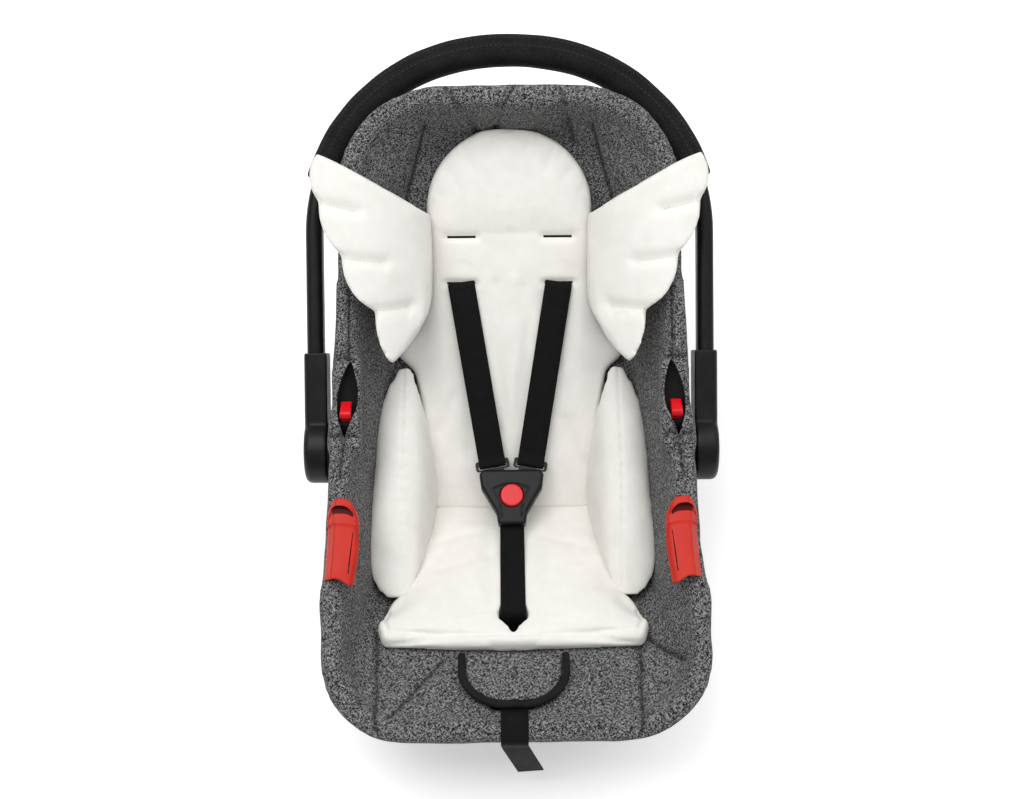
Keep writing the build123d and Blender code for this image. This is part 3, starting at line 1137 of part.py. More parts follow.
# The origin goes below the middle of the overall box
boxes = [shape.bounding_box() for shape in nodes.values()]
middle_y = (min(b.min.Y for b in boxes) + max(b.max.Y for b in boxes)) / 2
centred = Location((0, -middle_y, 0))
for name, shape in nodes.items():
    export_step(shape.moved(centred), f"parts/{name}.step")
print("origin moved back by", round(middle_y, 4))
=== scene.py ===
"""Dressed model of an infant car seat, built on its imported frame."""
import json
import logging
import math
from dataclasses import dataclass, field
from enum import Enum
from typing import Iterable, Sequence

import bmesh
import bpy
import numpy as np
from mathutils import Matrix, Vector, noise
from mathutils.bvhtree import BVHTree


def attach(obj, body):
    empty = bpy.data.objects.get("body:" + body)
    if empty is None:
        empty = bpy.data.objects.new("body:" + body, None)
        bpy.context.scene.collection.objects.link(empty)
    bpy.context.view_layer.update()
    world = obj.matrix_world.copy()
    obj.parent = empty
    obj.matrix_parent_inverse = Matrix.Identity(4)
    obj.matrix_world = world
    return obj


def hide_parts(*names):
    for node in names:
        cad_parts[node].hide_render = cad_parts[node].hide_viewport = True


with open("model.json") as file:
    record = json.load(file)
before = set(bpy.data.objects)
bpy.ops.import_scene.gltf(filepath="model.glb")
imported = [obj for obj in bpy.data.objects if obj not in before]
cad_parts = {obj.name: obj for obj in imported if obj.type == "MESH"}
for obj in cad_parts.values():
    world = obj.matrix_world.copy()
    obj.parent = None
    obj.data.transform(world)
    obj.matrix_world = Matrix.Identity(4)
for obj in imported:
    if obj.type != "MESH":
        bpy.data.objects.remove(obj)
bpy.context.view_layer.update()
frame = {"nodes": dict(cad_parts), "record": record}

LOG = logging.getLogger("car_seat")

SEAM_SHADE_LAYER = "seam"
SHARP = math.radians(55)
Point2 = tuple[float, float]
Colour = tuple[float, float, float]
Ripple = tuple[float, float, int]
MM = 0.001


class Body(str, Enum):
    """Bodies of the frame that pieces ride on."""

    BASE = "base"
    HANDLE = "handle"
    FLAP = "cover_flap"


class Side(Enum):
    """Left and right halves, with the sign of X and the word in node names."""

    LEFT = (-1, "left")
    RIGHT = (1, "right")

    @property
    def sign(self) -> int:
        """Sign of X on this side."""
        return self.value[0]

    @property
    def word(self) -> str:
        """Word that node names use for this side."""
        return self.value[1]


@dataclass(frozen=True)
class Plate:
    """A slanted plane across the seat, with X across and one axis up the slope."""

    origin: Vector
    along: Vector
    normal: Vector

    def point(self, x: float, y: float, off: float) -> Vector:
        """Place on the plate.

        Args:
            x: metres to the right.
            y: metres along the slope.
            off: metres above the plate.

        Returns:
            The point in the part's frame.
        """
        return self.origin + Vector((x, 0, 0)) + self.along * y + self.normal * off

    def local(self, points: np.ndarray) -> np.ndarray:
        """Plate coordinates of many points.

        Args:
            points: array of N by 3 points.

        Returns:
            Array of N by 3 values: x, y along the slope and height.
        """
        arm = points - np.array(self.origin)
        return np.stack([points[:, 0], arm @ np.array(self.along), arm @ np.array(self.normal)], axis=1)


@dataclass(frozen=True)
class SeatFrame:
    """Driving sizes of the bucket, shared by every piece."""

    hub_y: float = -30.6735 * MM
    hub_z: float = 172 * MM
    tilt: float = math.radians(15)
    bight_s: float = -50 * MM
    bight_h: float = -133 * MM
    pan_rise: float = math.radians(34.8)
    back_rise: float = math.radians(25)
    handle_tilt: float = math.radians(58)
    rim_h: float = 28 * MM
    rim_front: float = math.radians(4)
    rim_rear: float = math.radians(16.6)
    pad_top: float = 36.4 * MM

    @property
    def hub(self) -> Vector:
        """Point between the two hubs."""
        return Vector((0, self.hub_y, self.hub_z))

    @property
    def axis_s(self) -> Vector:
        """Direction from the foot end to the head end."""
        return Vector((0, math.cos(self.tilt), math.sin(self.tilt)))

    @property
    def axis_h(self) -> Vector:
        """Direction out of the bucket's mouth."""
        return Vector((0, -math.sin(self.tilt), math.cos(self.tilt)))

    def tub(self, s: float, h: float, x: float = 0.0) -> Vector:
        """Point of the bucket frame, whose origin is between the hubs.

        Args:
            s: metres towards the head end.
            h: metres out of the mouth.
            x: metres to the right.

        Returns:
            The point in the part's frame.
        """
        return self.hub + Vector((x, 0, 0)) + self.axis_s * s + self.axis_h * h

    def to_tub(self, points: np.ndarray) -> np.ndarray:
        """Bucket coordinates of many points.

        Args:
            points: array of N by 3 points.

        Returns:
            Array of N by 3 values: x, s and h.
        """
        arm = points - np.array(self.hub)
        return np.stack([points[:, 0], arm @ np.array(self.axis_s), arm @ np.array(self.axis_h)], axis=1)

    def rim(self, s: np.ndarray) -> np.ndarray:
        """Height of the shell's rim along the seat.

        Args:
            s: places towards the head end.

        Returns:
            Heights in the bucket frame.
        """
        return self.rim_h + np.where(s > 0, s * math.tan(self.rim_rear), -s * math.tan(self.rim_front))

    def _plate(self, turn: float, forward: int) -> Plate:
        """Plate that leaves the bight at an angle.

        Args:
            turn: rise from the bucket's own length axis.
            forward: 1 towards the head, -1 towards the feet.

        Returns:
            The plate.
        """
        along = self.axis_s * (forward * math.cos(turn)) + self.axis_h * math.sin(turn)
        normal = self.axis_h * math.cos(turn) - self.axis_s * (forward * math.sin(turn))
        return Plate(self.tub(self.bight_s, self.bight_h), along, normal)

    @property
    def back(self) -> Plate:
        """Outer face of the shell's back."""
        return self._plate(self.back_rise, 1)

    @property
    def pan(self) -> Plate:
        """Outer face of the shell's pan."""
        return self._plate(self.pan_rise, -1)

    @property
    def plan(self) -> Plate:
        """View straight into the bucket's mouth."""
        return Plate(self.hub, self.axis_s, self.axis_h)

    @property
    def hub_rim(self) -> Plate:
        """Top of the rim beside the hubs, under the cover's roll."""
        turn = self.rim_rear
        along = self.axis_s * math.cos(turn) + self.axis_h * math.sin(turn)
        normal = self.axis_h * math.cos(turn) - self.axis_s * math.sin(turn)
        return Plate(self.tub(0, self.rim_h), along, normal)

    @property
    def handle(self) -> Plate:
        """Middle plane of the handle, y along its legs."""
        along = Vector((0, math.sin(self.handle_tilt), math.cos(self.handle_tilt)))
        return Plate(self.hub, along, Vector((0, -along.z, along.y)))


SEAT = SeatFrame()


class Sock:
    """Output socket of a node whose operators add Math nodes."""

    def __init__(self, shade: "Shade", socket: bpy.types.NodeSocket) -> None:
        """Wrap a socket.

        Args:
            shade: the material being built.
            socket: the output that this stands for.
        """
        self.shade = shade
        self.socket = socket

    def _math(self, word: str, first: "Sock | float", second: "Sock | float") -> "Sock":
        """Add one Math node.

        Args:
            word: operation of the node.
            first: left-hand value.
            second: right-hand value.

        Returns:
            The result.
        """
        return self.shade.node("ShaderNodeMath", {0: first, 1: second}, operation=word)

    def __add__(self, other: "Sock | float") -> "Sock":
        """Sum with a value on the right."""
        return self._math("ADD", self, other)

    def __radd__(self, other: float) -> "Sock":
        """Sum with a value on the left."""
        return self._math("ADD", other, self)

    def __mul__(self, other: "Sock | float") -> "Sock":
        """Product with a value on the right."""
        return self._math("MULTIPLY", self, other)

    def __rmul__(self, other: float) -> "Sock":
        """Product with a value on the left."""
        return self._math("MULTIPLY", other, self)

    def wave(self) -> "Sock":
        """Sine of the value, moved to the range 0 to 1."""
        return self._math("SINE", self, 0.0) * 0.5 + 0.5


class Shade:
    """A material under construction."""

    def __init__(self, name: str) -> None:
        """Start an empty node material.

        Args:
            name: name of the material.
        """
        self.material = bpy.data.materials.new(name)
        self.material.use_nodes = True
        self.tree = self.material.node_tree
        self.tree.nodes.clear()

    def node(self, kind: str, inputs: dict | None = None, out: int | str = 0, **options: object) -> Sock:
        """Add one node of any kind.

        Args:
            kind: type name of the node.
            inputs: socket name or number to a socket or a constant.
            out: output that is wanted.
            options: properties of the node.

        Returns:
            The wanted output.
        """
        made = self.tree.nodes.new(kind)
        for key, value in options.items():
            setattr(made, key, value)
        for key, value in (inputs or {}).items():
            if isinstance(value, Sock):
                self.tree.links.new(value.socket, made.inputs[key])
            else:
                made.inputs[key].default_value = value
        return Sock(self, made.outputs[out])

    def place(self, stretch: tuple[float, float, float] = (1, 1, 1), turn: float = 0.0) -> Sock:
        """Place on the piece, for a pattern.

        Args:
            stretch: how much longer the pattern is along each axis.
            turn: turn of those axes about the upright, in radians.

        Returns:
            The place as a vector.
        """
        spot = self.node("ShaderNodeTexCoord", out="Object")
        values = {"Vector": spot, "Rotation": (0, 0, turn), "Scale": stretch}
        return self.node("ShaderNodeMapping", values, vector_type="TEXTURE")

    def noise(self, at: Sock, scale: float, detail: float = 2.0, rough: float = 0.5) -> Sock:
        """Cloudy noise.

        Args:
            at: place to read it.
            scale: features per metre.
            detail: number of finer layers.
            rough: weight of the finer layers.

        Returns:
            A value around 0.5.
        """
        values = {"Vector": at, "Scale": scale, "Detail": detail, "Roughness": rough}
        return self.node("ShaderNodeTexNoise", values)

    def ramp(self, value: Sock, low: float, high: float) -> Sock:
        """Value stretched so that low becomes 0 and high becomes 1.

        Args:
            value: what is stretched.
            low: start of the range.
            high: end of the range.

        Returns:
            A clamped value.
        """
        return self.node("ShaderNodeMapRange", {"Value": value, "From Min": low, "From Max": high})

    def mix(self, share: Sock, first: "Sock | Colour", second: "Sock | Colour") -> Sock:
        """Blend of two colours.

        Args:
            share: part of the second colour.
            first: colour at 0.
            second: colour at 1.

        Returns:
            A colour.
        """
        ends = {6: first, 7: second}
        ends = {k: v if isinstance(v, Sock) else (*v, 1.0) for k, v in ends.items()}
        return self.node("ShaderNodeMix", {0: share, **ends}, out=2, data_type="RGBA")

    def bump(self, height: Sock, depth: float, strength: float = 1.0) -> Sock:
        """Surface normal from a height.

        Args:
            height: value from 0 to 1.
            depth: real depth in metres.
            strength: share of the effect.

        Returns:
            A normal.
        """
        return self.node("ShaderNodeBump", {"Height": height, "Distance": depth, "Strength": strength})

    def close(self, **values: object) -> bpy.types.Material:
        """Add the surface shader and end the material.

        Args:
            values: shader inputs, with spaces written as underscores.

        Returns:
            The finished material.
        """
        inputs = {key.replace("_", " "): value for key, value in values.items()}
        surface = self.node("ShaderNodeBsdfPrincipled", inputs)
        end = self.tree.nodes.new("ShaderNodeOutputMaterial")
        self.tree.links.new(surface.socket, end.inputs["Surface"])
        return self.material


@dataclass(frozen=True)
class Melange:
    """Grey cloth of mixed dark and pale yarn, with painted shade along its seams."""

    name: str = "melange_cloth"
    dark: Colour = (0.010, 0.010, 0.011)
    middle: Colour = (0.205, 0.205, 0.206)
    pale: Colour = (0.48, 0.48, 0.48)
    # painted shade: near-black colour laid into the seam creases
    seam: Colour = (0.010, 0.010, 0.010)
    yarn: float = 740.0
    slub: float = 2.6
    twill: float = math.radians(40)
    depth: float = 0.5 * MM

    def material(self) -> bpy.types.Material:
        """Build the cloth.

        Returns:
            The material.
        """
        shade = Shade(self.name)
        weft = shade.noise(shade.place((self.slub, 1, 1), self.twill), self.yarn, 1.0)
        warp = shade.noise(shade.place((1, self.slub, 1), self.twill), self.yarn * 0.9, 1.0)
        fine = shade.noise(shade.place(), self.yarn * 1.7, 0.0)
        tone = shade.ramp(weft * 0.45 + warp * 0.25 + fine * 0.30, 0.45, 0.57)
        fleck = shade.ramp(fine * 0.5 + warp * 0.5, 0.56, 0.68)
        cloud = shade.noise(shade.place(), 14.0)
        base = shade.mix(tone, self.dark, self.middle)
        cloth = shade.mix(fleck * (cloud * 0.4 + 0.4), base, self.pale)
        # painted shade: the seam layer darkens the cloth in the seam creases
        sewn = shade.node("ShaderNodeAttribute", out="Fac", attribute_name=SEAM_SHADE_LAYER)
        colour = shade.mix(sewn, cloth, self.seam)
        normal = shade.bump(weft * 0.5 + warp * 0.5, self.depth, 0.7)
        return shade.close(
            Base_Color=colour, Roughness=cloud * 0.1 + 0.86, Normal=normal,
            Sheen_Weight=0.08, Sheen_Roughness=0.5, Specular_IOR_Level=0.15,
        )


@dataclass(frozen=True)
class Jersey:
    """Soft brushed knit of one pale colour."""

    name: str = "jersey_cloth"
    colour: Colour = (0.83, 0.815, 0.775)
    shadow: Colour = (0.785, 0.768, 0.725)
    stitch: float = 900.0
    depth: float = 0.35 * MM

    def material(self) -> bpy.types.Material:
        """Build the cloth.

        Returns:
            The material.
        """
        shade = Shade(self.name)
        knit = shade.noise(shade.place(), self.stitch, 2.0, 0.6)
        nap = shade.noise(shade.place(), 60.0, 4.0, 0.55)
        tone = shade.ramp(nap * 0.7 + knit * 0.3, 0.38, 0.68)
        colour = shade.mix(tone, self.shadow, self.colour)
        normal = shade.bump(knit * 0.6 + nap * 0.8, self.depth, 0.55)
        return shade.close(
            Base_Color=colour, Roughness=nap * 0.1 + 0.84, Normal=normal,
            Sheen_Weight=0.2, Sheen_Roughness=0.45, Specular_IOR_Level=0.2,
        )


@dataclass(frozen=True)
class Webbing:
    """Woven band whose threads follow the piece's own UV map, in metres, painted lighter on the weave's
    ridges as highlight.
    """

    name: str = "black_webbing"
    colour: Colour = (0.0035, 0.0035, 0.0038)
    # painted highlight: lighter colour on top of the threads
    ridge_highlight: Colour = (0.014, 0.014, 0.0145)
    thread: float = 1.3 * MM
    depth: float = 0.35 * MM

    def material(self) -> bpy.types.Material:
        """Build the band.

        Returns:
            The material.
        """
        shade = Shade(self.name)
        spot = shade.node("ShaderNodeUVMap", uv_map="band")
        across = shade.node("ShaderNodeSeparateXYZ", {0: spot}, out="X")
        length = shade.node("ShaderNodeSeparateXYZ", {0: spot}, out="Y")
        turn = 2 * math.pi / self.thread
        twill = (across * turn + length * (turn * 0.5)).wave()
        rib = (length * turn).wave() * (across * (turn * 0.5)).wave()
        worn = shade.noise(shade.place(), 90.0, 3.0)
        weave = twill * 0.5 + rib * 0.5
        # painted highlight on the weave's ridges, varied by random tone from the worn noise
        colour = shade.mix(shade.ramp(weave * worn, 0.2, 0.6), self.colour, self.ridge_highlight)
        return shade.close(
            Base_Color=colour, Roughness=worn * 0.2 + 0.62, Normal=shade.bump(weave, self.depth, 0.8),
            Specular_IOR_Level=0.12,
        )


@dataclass(frozen=True)
class Knit:
    """Thick black cloth of a sleeve or a bound edge, painted lighter on its raised knit as highlight."""

    name: str
    colour: Colour = (0.0040, 0.0040, 0.0042)
    # painted highlight: lighter colour on the raised knit
    ridge_highlight: Colour = (0.016, 0.016, 0.0165)
    scale: float = 700.0
    depth: float = 0.5 * MM

    def material(self) -> bpy.types.Material:
        """Build the cloth.

        Returns:
            The material.
        """
        shade = Shade(self.name)
        cell = shade.node("ShaderNodeTexVoronoi", {"Vector": shade.place(), "Scale": self.scale})
        worn = shade.noise(shade.place(), 45.0, 4.0)
        # painted highlight on the raised cells, mixed with random tone
        colour = shade.mix(shade.ramp(cell * 0.6 + worn * 0.6, 0.35, 0.85), self.colour, self.ridge_highlight)
        return shade.close(
            Base_Color=colour, Roughness=worn * 0.2 + 0.68, Normal=shade.bump(cell, self.depth, 0.7),
            Sheen_Weight=0.02, Specular_IOR_Level=0.12,
        )


@dataclass(frozen=True)
class Moulded:
    """Moulded plastic with a fine grain and slightly rubbed colour."""

    name: str
    colour: Colour
    rubbed: Colour
    gloss: float
    grain: float = 1500.0
    depth: float = 0.12 * MM
    coat: float = 0.0
    shine: float = 0.5

    def material(self) -> bpy.types.Material:
        """Build the plastic.

        Returns:
            The material.
        """
        shade = Shade(self.name)
        grain = shade.noise(shade.place(), self.grain, 2.0)
        rub = shade.noise(shade.place(), 35.0, 5.0, 0.6)
        colour = shade.mix(shade.ramp(rub, 0.45, 0.8), self.colour, self.rubbed)
        rough = shade.ramp(rub, 0.2, 0.8) * 0.16 + (self.gloss - 0.08)
        return shade.close(
            Base_Color=colour, Roughness=rough, Normal=shade.bump(grain, self.depth, 0.35),
            Coat_Weight=self.coat, Coat_Roughness=0.2, Specular_IOR_Level=self.shine,
        )


@dataclass(frozen=True)
class Metal:
    """Plated steel with fine drawn lines."""

    name: str
    colour: Colour = (0.55, 0.55, 0.57)
    dull: Colour = (0.40, 0.40, 0.41)
    line: float = 1200.0

    def material(self) -> bpy.types.Material:
        """Build the metal.

        Returns:
            The material.
        """
        shade = Shade(self.name)
        drawn = shade.noise(shade.place((20, 1, 1)), self.line, 2.0)
        cloud = shade.noise(shade.place(), 80.0, 3.0)
        colour = shade.mix(shade.ramp(drawn * 0.5 + cloud * 0.5, 0.3, 0.7), self.dull, self.colour)
        return shade.close(
            Base_Color=colour, Metallic=1.0, Roughness=cloud * 0.2 + 0.26,
            Normal=shade.bump(drawn, 0.05 * MM, 0.3),
        )


@dataclass
class Wardrobe:
    """Every finish of the seat, each made once."""

    made: dict[str, bpy.types.Material] = field(default_factory=dict)

    def get(self, finish: object) -> bpy.types.Material:
        """Material of a finish.

        Args:
            finish: one of the finish classes.

        Returns:
            Its material, built the first time it is asked for.
        """
        if finish.name not in self.made:
            self.made[finish.name] = finish.material()
        return self.made[finish.name]


COVER_CLOTH = Melange()
INSERT_CLOTH = Jersey()
WEBBING = Webbing()
SLEEVE_CLOTH = Knit("sleeve_cloth")
BINDING_TAPE = Knit("binding_tape", scale=1100.0, depth=0.3 * MM)
# painted shade: near-black cloth on the cut faces of the cover's slits and on the strips over the pad's
# slits, where only shade is
SLIT_SHADE = Knit("slit_painted_shade", colour=(0.006, 0.006, 0.006), ridge_highlight=(0.015, 0.014, 0.013))
BLACK_PLASTIC = Moulded("black_plastic", (0.0050, 0.0050, 0.0053), (0.011, 0.011, 0.0115), 0.42, shine=0.22)
HANDLE_PLASTIC = Moulded("handle_plastic", (0.0045, 0.0045, 0.0048), (0.010, 0.010, 0.0105), 0.40, shine=0.22)
SHELL_PLASTIC = Moulded(
    "shell_plastic", (0.007, 0.007, 0.0075), (0.015, 0.015, 0.016), 0.55,
    grain=900.0, depth=0.2 * MM, shine=0.2,
)
RED_PLASTIC = Moulded("red_plastic", (0.66, 0.006, 0.012), (0.72, 0.012, 0.018), 0.30, coat=0.15, shine=0.3)
GUIDE_PLASTIC = Moulded("guide_plastic", (0.52, 0.022, 0.012), (0.57, 0.030, 0.016), 0.46, shine=0.2)
# painted shade: darker red on the cut faces of the guide's recess and slot
GUIDE_SHADE = Moulded("guide_recess_shade", (0.075, 0.003, 0.003), (0.10, 0.004, 0.004), 0.6, shine=0.15)
GEAR_PLASTIC = Moulded("gear_plastic", (0.46, 0.44, 0.38), (0.54, 0.52, 0.46), 0.5)
STEEL = Metal("plated_steel")
WHITE_THREAD = Jersey("white_thread", (0.78, 0.75, 0.69), (0.62, 0.59, 0.53), 2500.0)
BLACK_THREAD = Jersey("black_thread", (0.05, 0.05, 0.052), (0.025, 0.025, 0.026), 2500.0)
WARDROBE = Wardrobe()


def new_object(name: str, mesh: bpy.types.Mesh) -> bpy.types.Object:
    """Put a mesh in the scene.

    Args:
        name: name of the piece.
        mesh: its mesh.

    Returns:
        The object.
    """
    made = bpy.data.objects.new(name, mesh)
    bpy.context.scene.collection.objects.link(made)
    return made


def polyline_distance(points: np.ndarray, line: Sequence[Point2]) -> np.ndarray:
    """Distance of flat points from a polyline.

    Args:
        points: array of N by 2 points.
        line: corners of the polyline.

    Returns:
        N distances.
    """
    best = np.full(len(points), np.inf)
    for first, second in zip(line, line[1:]):
        a, b = np.array(first), np.array(second)
        run = b - a
        share = np.clip((points - a) @ run / (run @ run), 0, 1)
        best = np.minimum(best, np.linalg.norm(points - a - share[:, None] * run, axis=1))
    return best


def smooth_step(value: np.ndarray, low: float, high: float) -> np.ndarray:
    """Soft step from 0 at low to 1 at high.

    Args:
        value: where it is read.
        low: start of the step.
        high: end of the step.

    Returns:
        Values from 0 to 1.
    """
    share = np.clip((value - low) / (high - low), 0, 1)
    return share * share * (3 - 2 * share)


def window(value: np.ndarray, rise: Point2, fall: Point2) -> np.ndarray:
    """Soft step up and, further on, down again.

    Args:
        value: where it is read.
        rise: start and end of the step up.
        fall: start and end of the step down.

    Returns:
        Values from 0 to 1.
    """
    return smooth_step(value, *rise) * (1 - smooth_step(value, *fall))


class SoftForm:
    """A soft piece while it is shaped, started from the solids that it stands for."""

    def __init__(self, name: str, nodes: Sequence[str], voxel: float, fill: Sequence["Filler"] = ()) -> None:
        """Copy the nodes' solids and remesh them evenly.

        Args:
            name: name of the piece.
            nodes: nodes that it stands for.
            voxel: size of the new faces in metres.
            fill: blocks that close holes first.
        """
        self.nodes = list(nodes)
        work = bmesh.new()
        for node in nodes:
            work.from_mesh(frame["nodes"][node].data)
        for block in fill:
            block.add(work)
        mesh = bpy.data.meshes.new(name)
        work.to_mesh(mesh)
        work.free()
        self.obj = new_object(name, mesh)
        remesh = self.obj.modifiers.new("even", "REMESH")
        remesh.mode = "VOXEL"
        remesh.voxel_size = voxel
        self.apply()

    def apply(self) -> None:
        """Replace the mesh by what its modifiers make of it."""
        graph = bpy.context.evaluated_depsgraph_get()
        mesh = bpy.data.meshes.new_from_object(self.obj.evaluated_get(graph))
        old = self.obj.data
        self.obj.modifiers.clear()
        self.obj.data = mesh
        bpy.data.meshes.remove(old)

    @property
    def points(self) -> np.ndarray:
        """Vertices as an array of N by 3."""
        flat = np.empty(len(self.obj.data.vertices) * 3)
        self.obj.data.vertices.foreach_get("co", flat)
        return flat.reshape(-1, 3)

    @points.setter
    def points(self, values: np.ndarray) -> None:
        """Move the vertices.

        Args:
            values: array of N by 3.
        """
        self.obj.data.vertices.foreach_set("co", np.ascontiguousarray(values).ravel())
        self.obj.data.update()

    @property
    def normals(self) -> np.ndarray:
        """Vertex normals as an array of N by 3."""
        flat = np.empty(len(self.obj.data.vertices) * 3)
        self.obj.data.vertex_normals.foreach_get("vector", flat)
        return flat.reshape(-1, 3)

    def smooth(self, rounds: int, factor: float = 0.5) -> None:
        """Even the surface out.

        Args:
            rounds: number of passes.
            factor: share of each pass.
        """
        even = self.obj.modifiers.new("smooth", "SMOOTH")
        even.iterations = rounds
        even.factor = factor
        self.apply()

    def push(self, amount: np.ndarray) -> None:
        """Move each vertex along its normal.

        Args:
            amount: metres for each vertex.
        """
        self.points = self.points + self.normals * amount[:, None]

    def wrinkle(self, scale: float, height: float, seed: int) -> None:
        """Add soft uneven swells.

        Args:
            scale: swells per metre.
            height: their height in metres.
            seed: place in the noise.
        """
        shift = Vector((seed * 7.1, seed * 3.3, seed * 1.7))
        values = [noise.noise(Vector(p) * scale + shift) for p in self.points]
        self.push(np.array(values) * height)

    def groove(self, away: np.ndarray, width: float, depth: float, facing: np.ndarray | None = None) -> None:
        """Draw the surface in along a seam.

        Args:
            away: distance of each vertex from the seam.
            width: half-width of the channel in metres.
            depth: depth of the channel in metres.
            facing: share from 0 to 1 for each vertex.
        """
        amount = -depth * np.exp(-((away / width) ** 2))
        self.push(amount if facing is None else amount * facing)

    def paint(self, away: np.ndarray, width: float, share: float) -> None:
        """Paint shade into the cloth along a seam, a dark line in its crease.

        Args:
            away: distance of each vertex from the seam.
            width: half-width of the dark line in metres.
            share: how dark it is.
        """
        layers = self.obj.data.attributes
        layer = layers.get(SEAM_SHADE_LAYER) or layers.new(SEAM_SHADE_LAYER, "FLOAT", "POINT")
        old = np.empty(len(self.obj.data.vertices))
        layer.data.foreach_get("value", old)
        fresh = share * np.exp(-((away / width) ** 2))
        layer.data.foreach_set("value", np.maximum(old, fresh))

    def cut(self, tool: bpy.types.Object) -> None:
        """Cut a block away, and give the cut faces the block's material, a painted shade.

        Args:
            tool: closed block, which is used up.
        """
        knife = self.obj.modifiers.new("cut", "BOOLEAN")
        knife.operation = "DIFFERENCE"
        knife.solver = "EXACT"
        knife.material_mode = "TRANSFER"
        knife.object = tool
        self.apply()
        bpy.data.objects.remove(tool)

    def finer(self, levels: int = 1) -> None:
        """Divide the surface.

        Args:
            levels: number of times.
        """
        divide = self.obj.modifiers.new("finer", "SUBSURF")
        divide.levels = levels
        divide.render_levels = levels
        self.apply()

    def puff(self, pinned: np.ndarray, pressure: float, cap: np.ndarray | float, frames: int = 20) -> None:
        """Blow the form up as cloth.

        Args:
            pinned: True for each vertex that is sewn or rests on something.
            pressure: air pressure.
            cap: longest way that a vertex may move, in metres, one for all or one for each.
            frames: number of steps.
        """
        before = self.points
        pins = self.obj.vertex_groups.new(name="sewn")
        pins.add([int(i) for i in np.flatnonzero(pinned)], 1.0, "REPLACE")
        cloth = self.obj.modifiers.new("cloth", "CLOTH")
        cloth.settings.use_pressure = True
        cloth.settings.uniform_pressure_force = pressure
        cloth.settings.vertex_group_mass = "sewn"
        cloth.settings.effector_weights.gravity = 0
        cloth.settings.tension_stiffness = 15
        cloth.settings.bending_stiffness = 0.5
        cloth.collision_settings.use_collision = False
        cloth.point_cache.frame_start = 1
        cloth.point_cache.frame_end = frames
        for step in range(1, frames + 1):
            bpy.context.scene.frame_set(step)
        self.apply()
        bpy.context.scene.frame_set(1)
        way = self.points - before
        size = np.linalg.norm(way, axis=1)
        share = np.minimum(1.0, cap / np.maximum(size, 1e-9))
        self.points = before + way * share[:, None]
        self.obj.vertex_groups.clear()

    def dress(self, finish: object, body: Body, slot: str, fill: float, levels: int = 1) -> bpy.types.Object:
        """End the piece: smooth shading, finish and body.

        Args:
            finish: its cloth, or None where its faces have one already.
            body: body that it moves with.
            slot: material slot of the record; not used.
            fill: how tightly it is stuffed; not used.
            levels: subdivision levels.

        Returns:
            The finished object.
        """
        if finish is not None:
            self.obj.data.materials.clear()
            self.obj.data.materials.append(WARDROBE.get(finish))
        if levels:
            self.finer(levels)
        self.obj.data.polygons.foreach_set("use_smooth", [True] * len(self.obj.data.polygons))
        self.obj.data.set_sharp_from_angle(angle=SHARP)
        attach(self.obj, body.value)
        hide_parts(*self.nodes)
        LOG.info("made %s", self.obj.name)
        return self.obj


@dataclass(frozen=True)
class Filler:
    """Block on a plate that closes a hole before a form is remeshed."""

    plate: Plate
    middle: Point2
    size: Point2
    low: float
    high: float

    def add(self, work: bmesh.types.BMesh) -> None:
        """Add the block to a mesh.

        Args:
            work: mesh that takes it.
        """
        made = bmesh.ops.create_cube(work, size=1.0)
        for vert in made["verts"]:
            x = self.middle[0] + vert.co.x * self.size[0]
            y = self.middle[1] + vert.co.y * self.size[1]
            off = self.low + (vert.co.z + 0.5) * (self.high - self.low)
            vert.co = self.plate.point(x, y, off)


def round_path(points: Sequence[Vector], reach: float = 8 * MM, steps: int = 6) -> list[Vector]:
    """Path whose corners are bent round.

    Args:
        points: corners of the path.
        reach: longest way from a corner to the start of its bend, in metres.
        steps: number of runs in a bend.

    Returns:
        A smooth list of points with the same ends.
    """
    path = [points[0]]
    for before, corner, after in zip(points, points[1:], points[2:]):
        back, ahead = before - corner, after - corner
        start = corner + back.normalized() * min(reach, back.length * 0.45)
        end = corner + ahead.normalized() * min(reach, ahead.length * 0.45)
        for k in range(steps + 1):
            t = k / steps
            path.append(start.lerp(corner, t).lerp(corner.lerp(end, t), t))
    return path + [points[-1]]


@dataclass
class Ribbon:
    """Flat woven band along a path."""

    name: str
    path: Sequence[Vector]
    across: Vector
    width: float
    thick: float
    edge_steps: int = 3

    def section(self) -> list[Point2]:
        """Outline of the band, with rounded edges and a slightly crowned face.

        Returns:
            Points across and above the middle.
        """
        half, r = self.width / 2, self.thick / 2
        turns = [math.pi * (i / self.edge_steps - 0.5) for i in range(self.edge_steps + 1)]
        right = [(half - r + r * math.cos(t), r * math.sin(t)) for t in turns]
        top = [(half * k, r * (1 + 0.25 * (1 - k * k))) for k in (0.5, 0, -0.5)]
        left = [(-x, -y) for x, y in right]
        low = [(-x, -r) for x, _ in top]
        return right + top + left + low

    def build(self) -> bpy.types.Object:
        """Make the band with a UV map in metres.

        Returns:
            The object.
        """
        section = self.section()
        count = len(section)
        work = bmesh.new()
        layer = work.loops.layers.uv.new("band")
        rings, far = [], [0.0]
        for i, point in enumerate(self.path):
            ahead = self.path[min(i + 1, len(self.path) - 1)] - self.path[max(i - 1, 0)]
            tangent = ahead.normalized()
            side = (self.across - tangent * self.across.dot(tangent)).normalized()
            up = side.cross(tangent)
            rings.append([work.verts.new(point + side * x + up * z) for x, z in section])
            if i:
                far.append(far[-1] + (point - self.path[i - 1]).length)
        for i in range(len(rings) - 1):
            for j in range(count):
                k = (j + 1) % count
                face = work.faces.new((rings[i][j], rings[i][k], rings[i + 1][k], rings[i + 1][j]))
                face.smooth = True
                spots = ((j, i), (k, i), (k, i + 1), (j, i + 1))
                for loop, (a, b) in zip(face.loops, spots):
                    loop[layer].uv = (section[a][0], far[b])
        for ring in (rings[0][::-1], rings[-1]):
            work.faces.new(ring)
        bmesh.ops.recalc_face_normals(work, faces=work.faces)
        mesh = bpy.data.meshes.new(self.name)
        work.to_mesh(mesh)
        work.free()
        return new_object(self.name, mesh)


